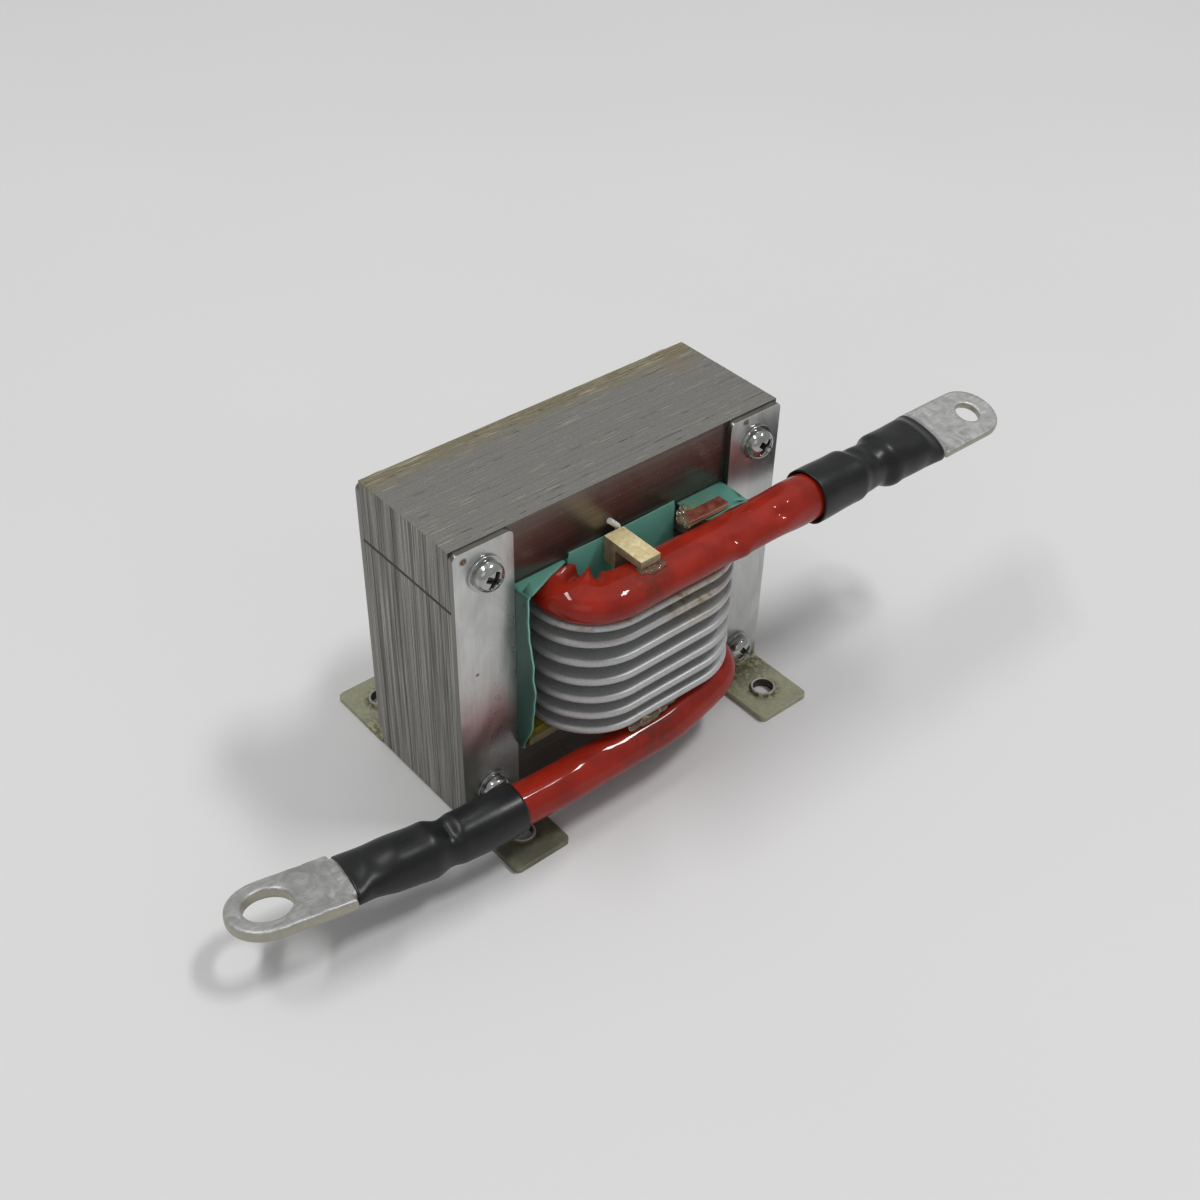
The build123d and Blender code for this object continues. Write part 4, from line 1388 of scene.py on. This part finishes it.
class CHOKE_OT_insulation(bpy.types.Operator):
    """Builds the window films, boards, block, shim and tie"""

    bl_idname = "choke.insulation"
    bl_label = "Insulation"

    def execute(self, context):
        settings = context.scene.choke_insulation
        film = film_finish(settings)
        thickness = settings.film_thickness
        for name, side, reaches, flap, seed in (
            ("left", -1, (3.5, 6.4, 7.4, 7.2, 5.8, 5.6), (0.8, 5.6), 3.0),
            ("right", 1, (0.0, 0.9, 1.2, 1.6, 2.4, 8.0), (9.0, 9.0), 6.0),
        ):
            mesh = liner_mesh("film_" + name, side, reaches, flap, settings.film_wave, thickness, seed)
            finished("film_" + name, mesh, film, "green_film", "window_liner_" + name)
        mesh = leg_film_mesh("film_leg", thickness, settings.film_front)
        finished("film_leg", mesh, film, "green_film", "centre_leg_wrap")
        beads = bead_mesh("varnish_beads", BEADS, 5.0)
        finished("varnish_beads", beads, varnish_finish(settings), "varnished_board")
        dark = (0.1, 0.085, 0.004)
        board = plain_finish("varnished_board", dark, (0.24, 0.2, 0.015), 0.25, 0.2, Coat_Weight=0.8)
        # The block's sides are painted darker than its top: painted shade.
        tops = ((0.52, 0.42, 0.2), (0.72, 0.62, 0.38))
        sides = ((0.22, 0.17, 0.1), (0.34, 0.26, 0.15))
        cream = cut_finish("cream_block", tops, sides, 0.6, 0.5)
        tops = ((0.1, 0.016, 0.01), (0.2, 0.055, 0.03))
        sides = ((0.2, 0.09, 0.05), (0.5, 0.38, 0.22))
        fibre = cut_finish("red_fibre", tops, sides, (0.1, 0.4, 2.6), 0.35)
        for node, piece, material, slot_name, edge in (
            ("bottom_spacer", "board", board, "varnished_board", 0.4),
            ("spacer_block", "block", cream, "cream_block", 0.35),
            ("fibre_shim", "shim", fibre, "red_fibre", 0.15),
        ):
            finished(piece, softened_copy(node, edge), material, slot_name, node)
        paint_node("tie_stub", plain_finish("lacing_tie", (0.62, 0.6, 0.55), (0.8, 0.79, 0.75), 0.8, 0.6))
        return {"FINISHED"}


# Stage


CAMERA_PLACE = (-188.98, -228.34, 279.13)
CAMERA_AZIMUTH = -40.85
CAMERA_ELEVATION = 39.65
CAMERA_ROLL = 1.29
FLOOR_REACH = 3000.0
# Each lamp's place and size in metres, and its share of the rear tube's power
LAMPS = (
    ("ceiling", (0.35, 0.3, 1.7), (2.0, 2.0), 0.2),
    ("rear_tube", (-0.6, 0.5, 1.7), (1.1, 0.18), 1.0),
    ("right_tube", (0.72, -0.45, 1.7), (0.45, 0.2), 1.1),
    ("window", (-1.3, -0.9, 1.2), (1.0, 1.0), 0.15),
)


class CHOKE_OT_stage(bpy.types.Operator):
    """Builds the floor, the lamps and the camera"""

    bl_idname = "choke.stage"
    bl_label = "Stage"

    def execute(self, context):
        settings = context.scene.choke_stage
        scene = context.scene
        scene.view_settings.view_transform = "Standard"
        corners = [(x * FLOOR_REACH, y * FLOOR_REACH, 0) for x, y in ((-1, -1), (1, -1), (1, 1), (-1, 1))]
        floor = linked("floor", mesh_from("floor", corners, [(0, 1, 2, 3)]))
        paper = Finish("pale_floor", Roughness=0.55)
        pale = tuple(settings.floor_colour)
        paper.base(paper.speckle(0.004, 2.0).band(0.3, 0.7), shade(pale, 0.97), pale)
        paper.set(Base_Color=paper.colour)
        floor.data.materials.append(paper.material)
        scene.world = bpy.data.worlds.new("room")
        scene.world.use_nodes = True
        background = scene.world.node_tree.nodes["Background"]
        background.inputs["Color"].default_value = (1.0, 1.0, 1.0, 1.0)
        background.inputs["Strength"].default_value = settings.world_level
        for name, place, size, share in LAMPS:
            light = bpy.data.lights.new(name, "AREA")
            light.energy = settings.lamp_power * share
            light.shape = "RECTANGLE"
            light.size, light.size_y = size
            lamp = linked(name, light)
            lamp.location = place
            aim = Vector((0.0, 0.0, 0.03)) - Vector(place)
            lamp.rotation_euler = aim.to_track_quat("-Z", "Y").to_euler()
        azimuth = math.radians(CAMERA_AZIMUTH)
        elevation = math.radians(CAMERA_ELEVATION)
        roll = math.radians(CAMERA_ROLL)
        flat = math.cos(elevation)
        back = Vector((math.sin(azimuth) * flat, -math.cos(azimuth) * flat, math.sin(elevation)))
        right = (-back).cross(Vector((0, 0, 1))).normalized()
        up = right.cross(-back)
        turned_right = right * math.cos(roll) + up * math.sin(roll)
        turned_up = up * math.cos(roll) - right * math.sin(roll)
        camera = linked("camera", bpy.data.cameras.new("camera"))
        place = Matrix((turned_right, turned_up, back)).transposed().to_4x4()
        place.translation = Vector(CAMERA_PLACE) * MM
        camera.matrix_world = place
        camera.data.lens = settings.lens
        camera.data.sensor_width = 36.0
        camera.data.clip_start = 0.01
        camera.data.clip_end = 20.0
        scene.camera = camera
        return {"FINISHED"}


SETTINGS = (
    ("choke_core", ChokeCoreSettings),
    ("choke_straps", ChokeStrapSettings),
    ("choke_coil", ChokeCoilSettings),
    ("choke_leads", ChokeLeadSettings),
    ("choke_insulation", ChokeInsulationSettings),
    ("choke_stage", ChokeStageSettings),
)
OPERATORS = (
    CHOKE_OT_core,
    CHOKE_OT_straps,
    CHOKE_OT_fasteners,
    CHOKE_OT_coil,
    CHOKE_OT_leads,
    CHOKE_OT_insulation,
    CHOKE_OT_stage,
)


class CHOKE_PT_panel(bpy.types.Panel):
    """Lists the builders and their settings in the sidebar"""

    bl_idname = "CHOKE_PT_panel"
    bl_label = "Choke Coil"
    bl_space_type = "VIEW_3D"
    bl_region_type = "UI"
    bl_category = "Choke Coil"

    def draw(self, context):
        for operator in OPERATORS:
            self.layout.operator(operator.bl_idname)
        for attribute, group in SETTINGS:
            box = self.layout.box()
            for key in group.__annotations__:
                box.prop(getattr(context.scene, attribute), key)


def register():
    for attribute, group in SETTINGS:
        bpy.utils.register_class(group)
        setattr(bpy.types.Scene, attribute, bpy.props.PointerProperty(type=group))
    for operator in OPERATORS:
        bpy.utils.register_class(operator)
    bpy.utils.register_class(CHOKE_PT_panel)


def unregister():
    bpy.utils.unregister_class(CHOKE_PT_panel)
    for operator in reversed(OPERATORS):
        bpy.utils.unregister_class(operator)
    for attribute, group in reversed(SETTINGS):
        delattr(bpy.types.Scene, attribute)
        bpy.utils.unregister_class(group)


def main():
    register()
    bpy.ops.choke.core()
    bpy.ops.choke.straps()
    bpy.ops.choke.fasteners()
    bpy.ops.choke.coil()
    bpy.ops.choke.leads()
    bpy.ops.choke.insulation()
    bpy.ops.choke.stage()


if __name__ == "__main__":
    main()
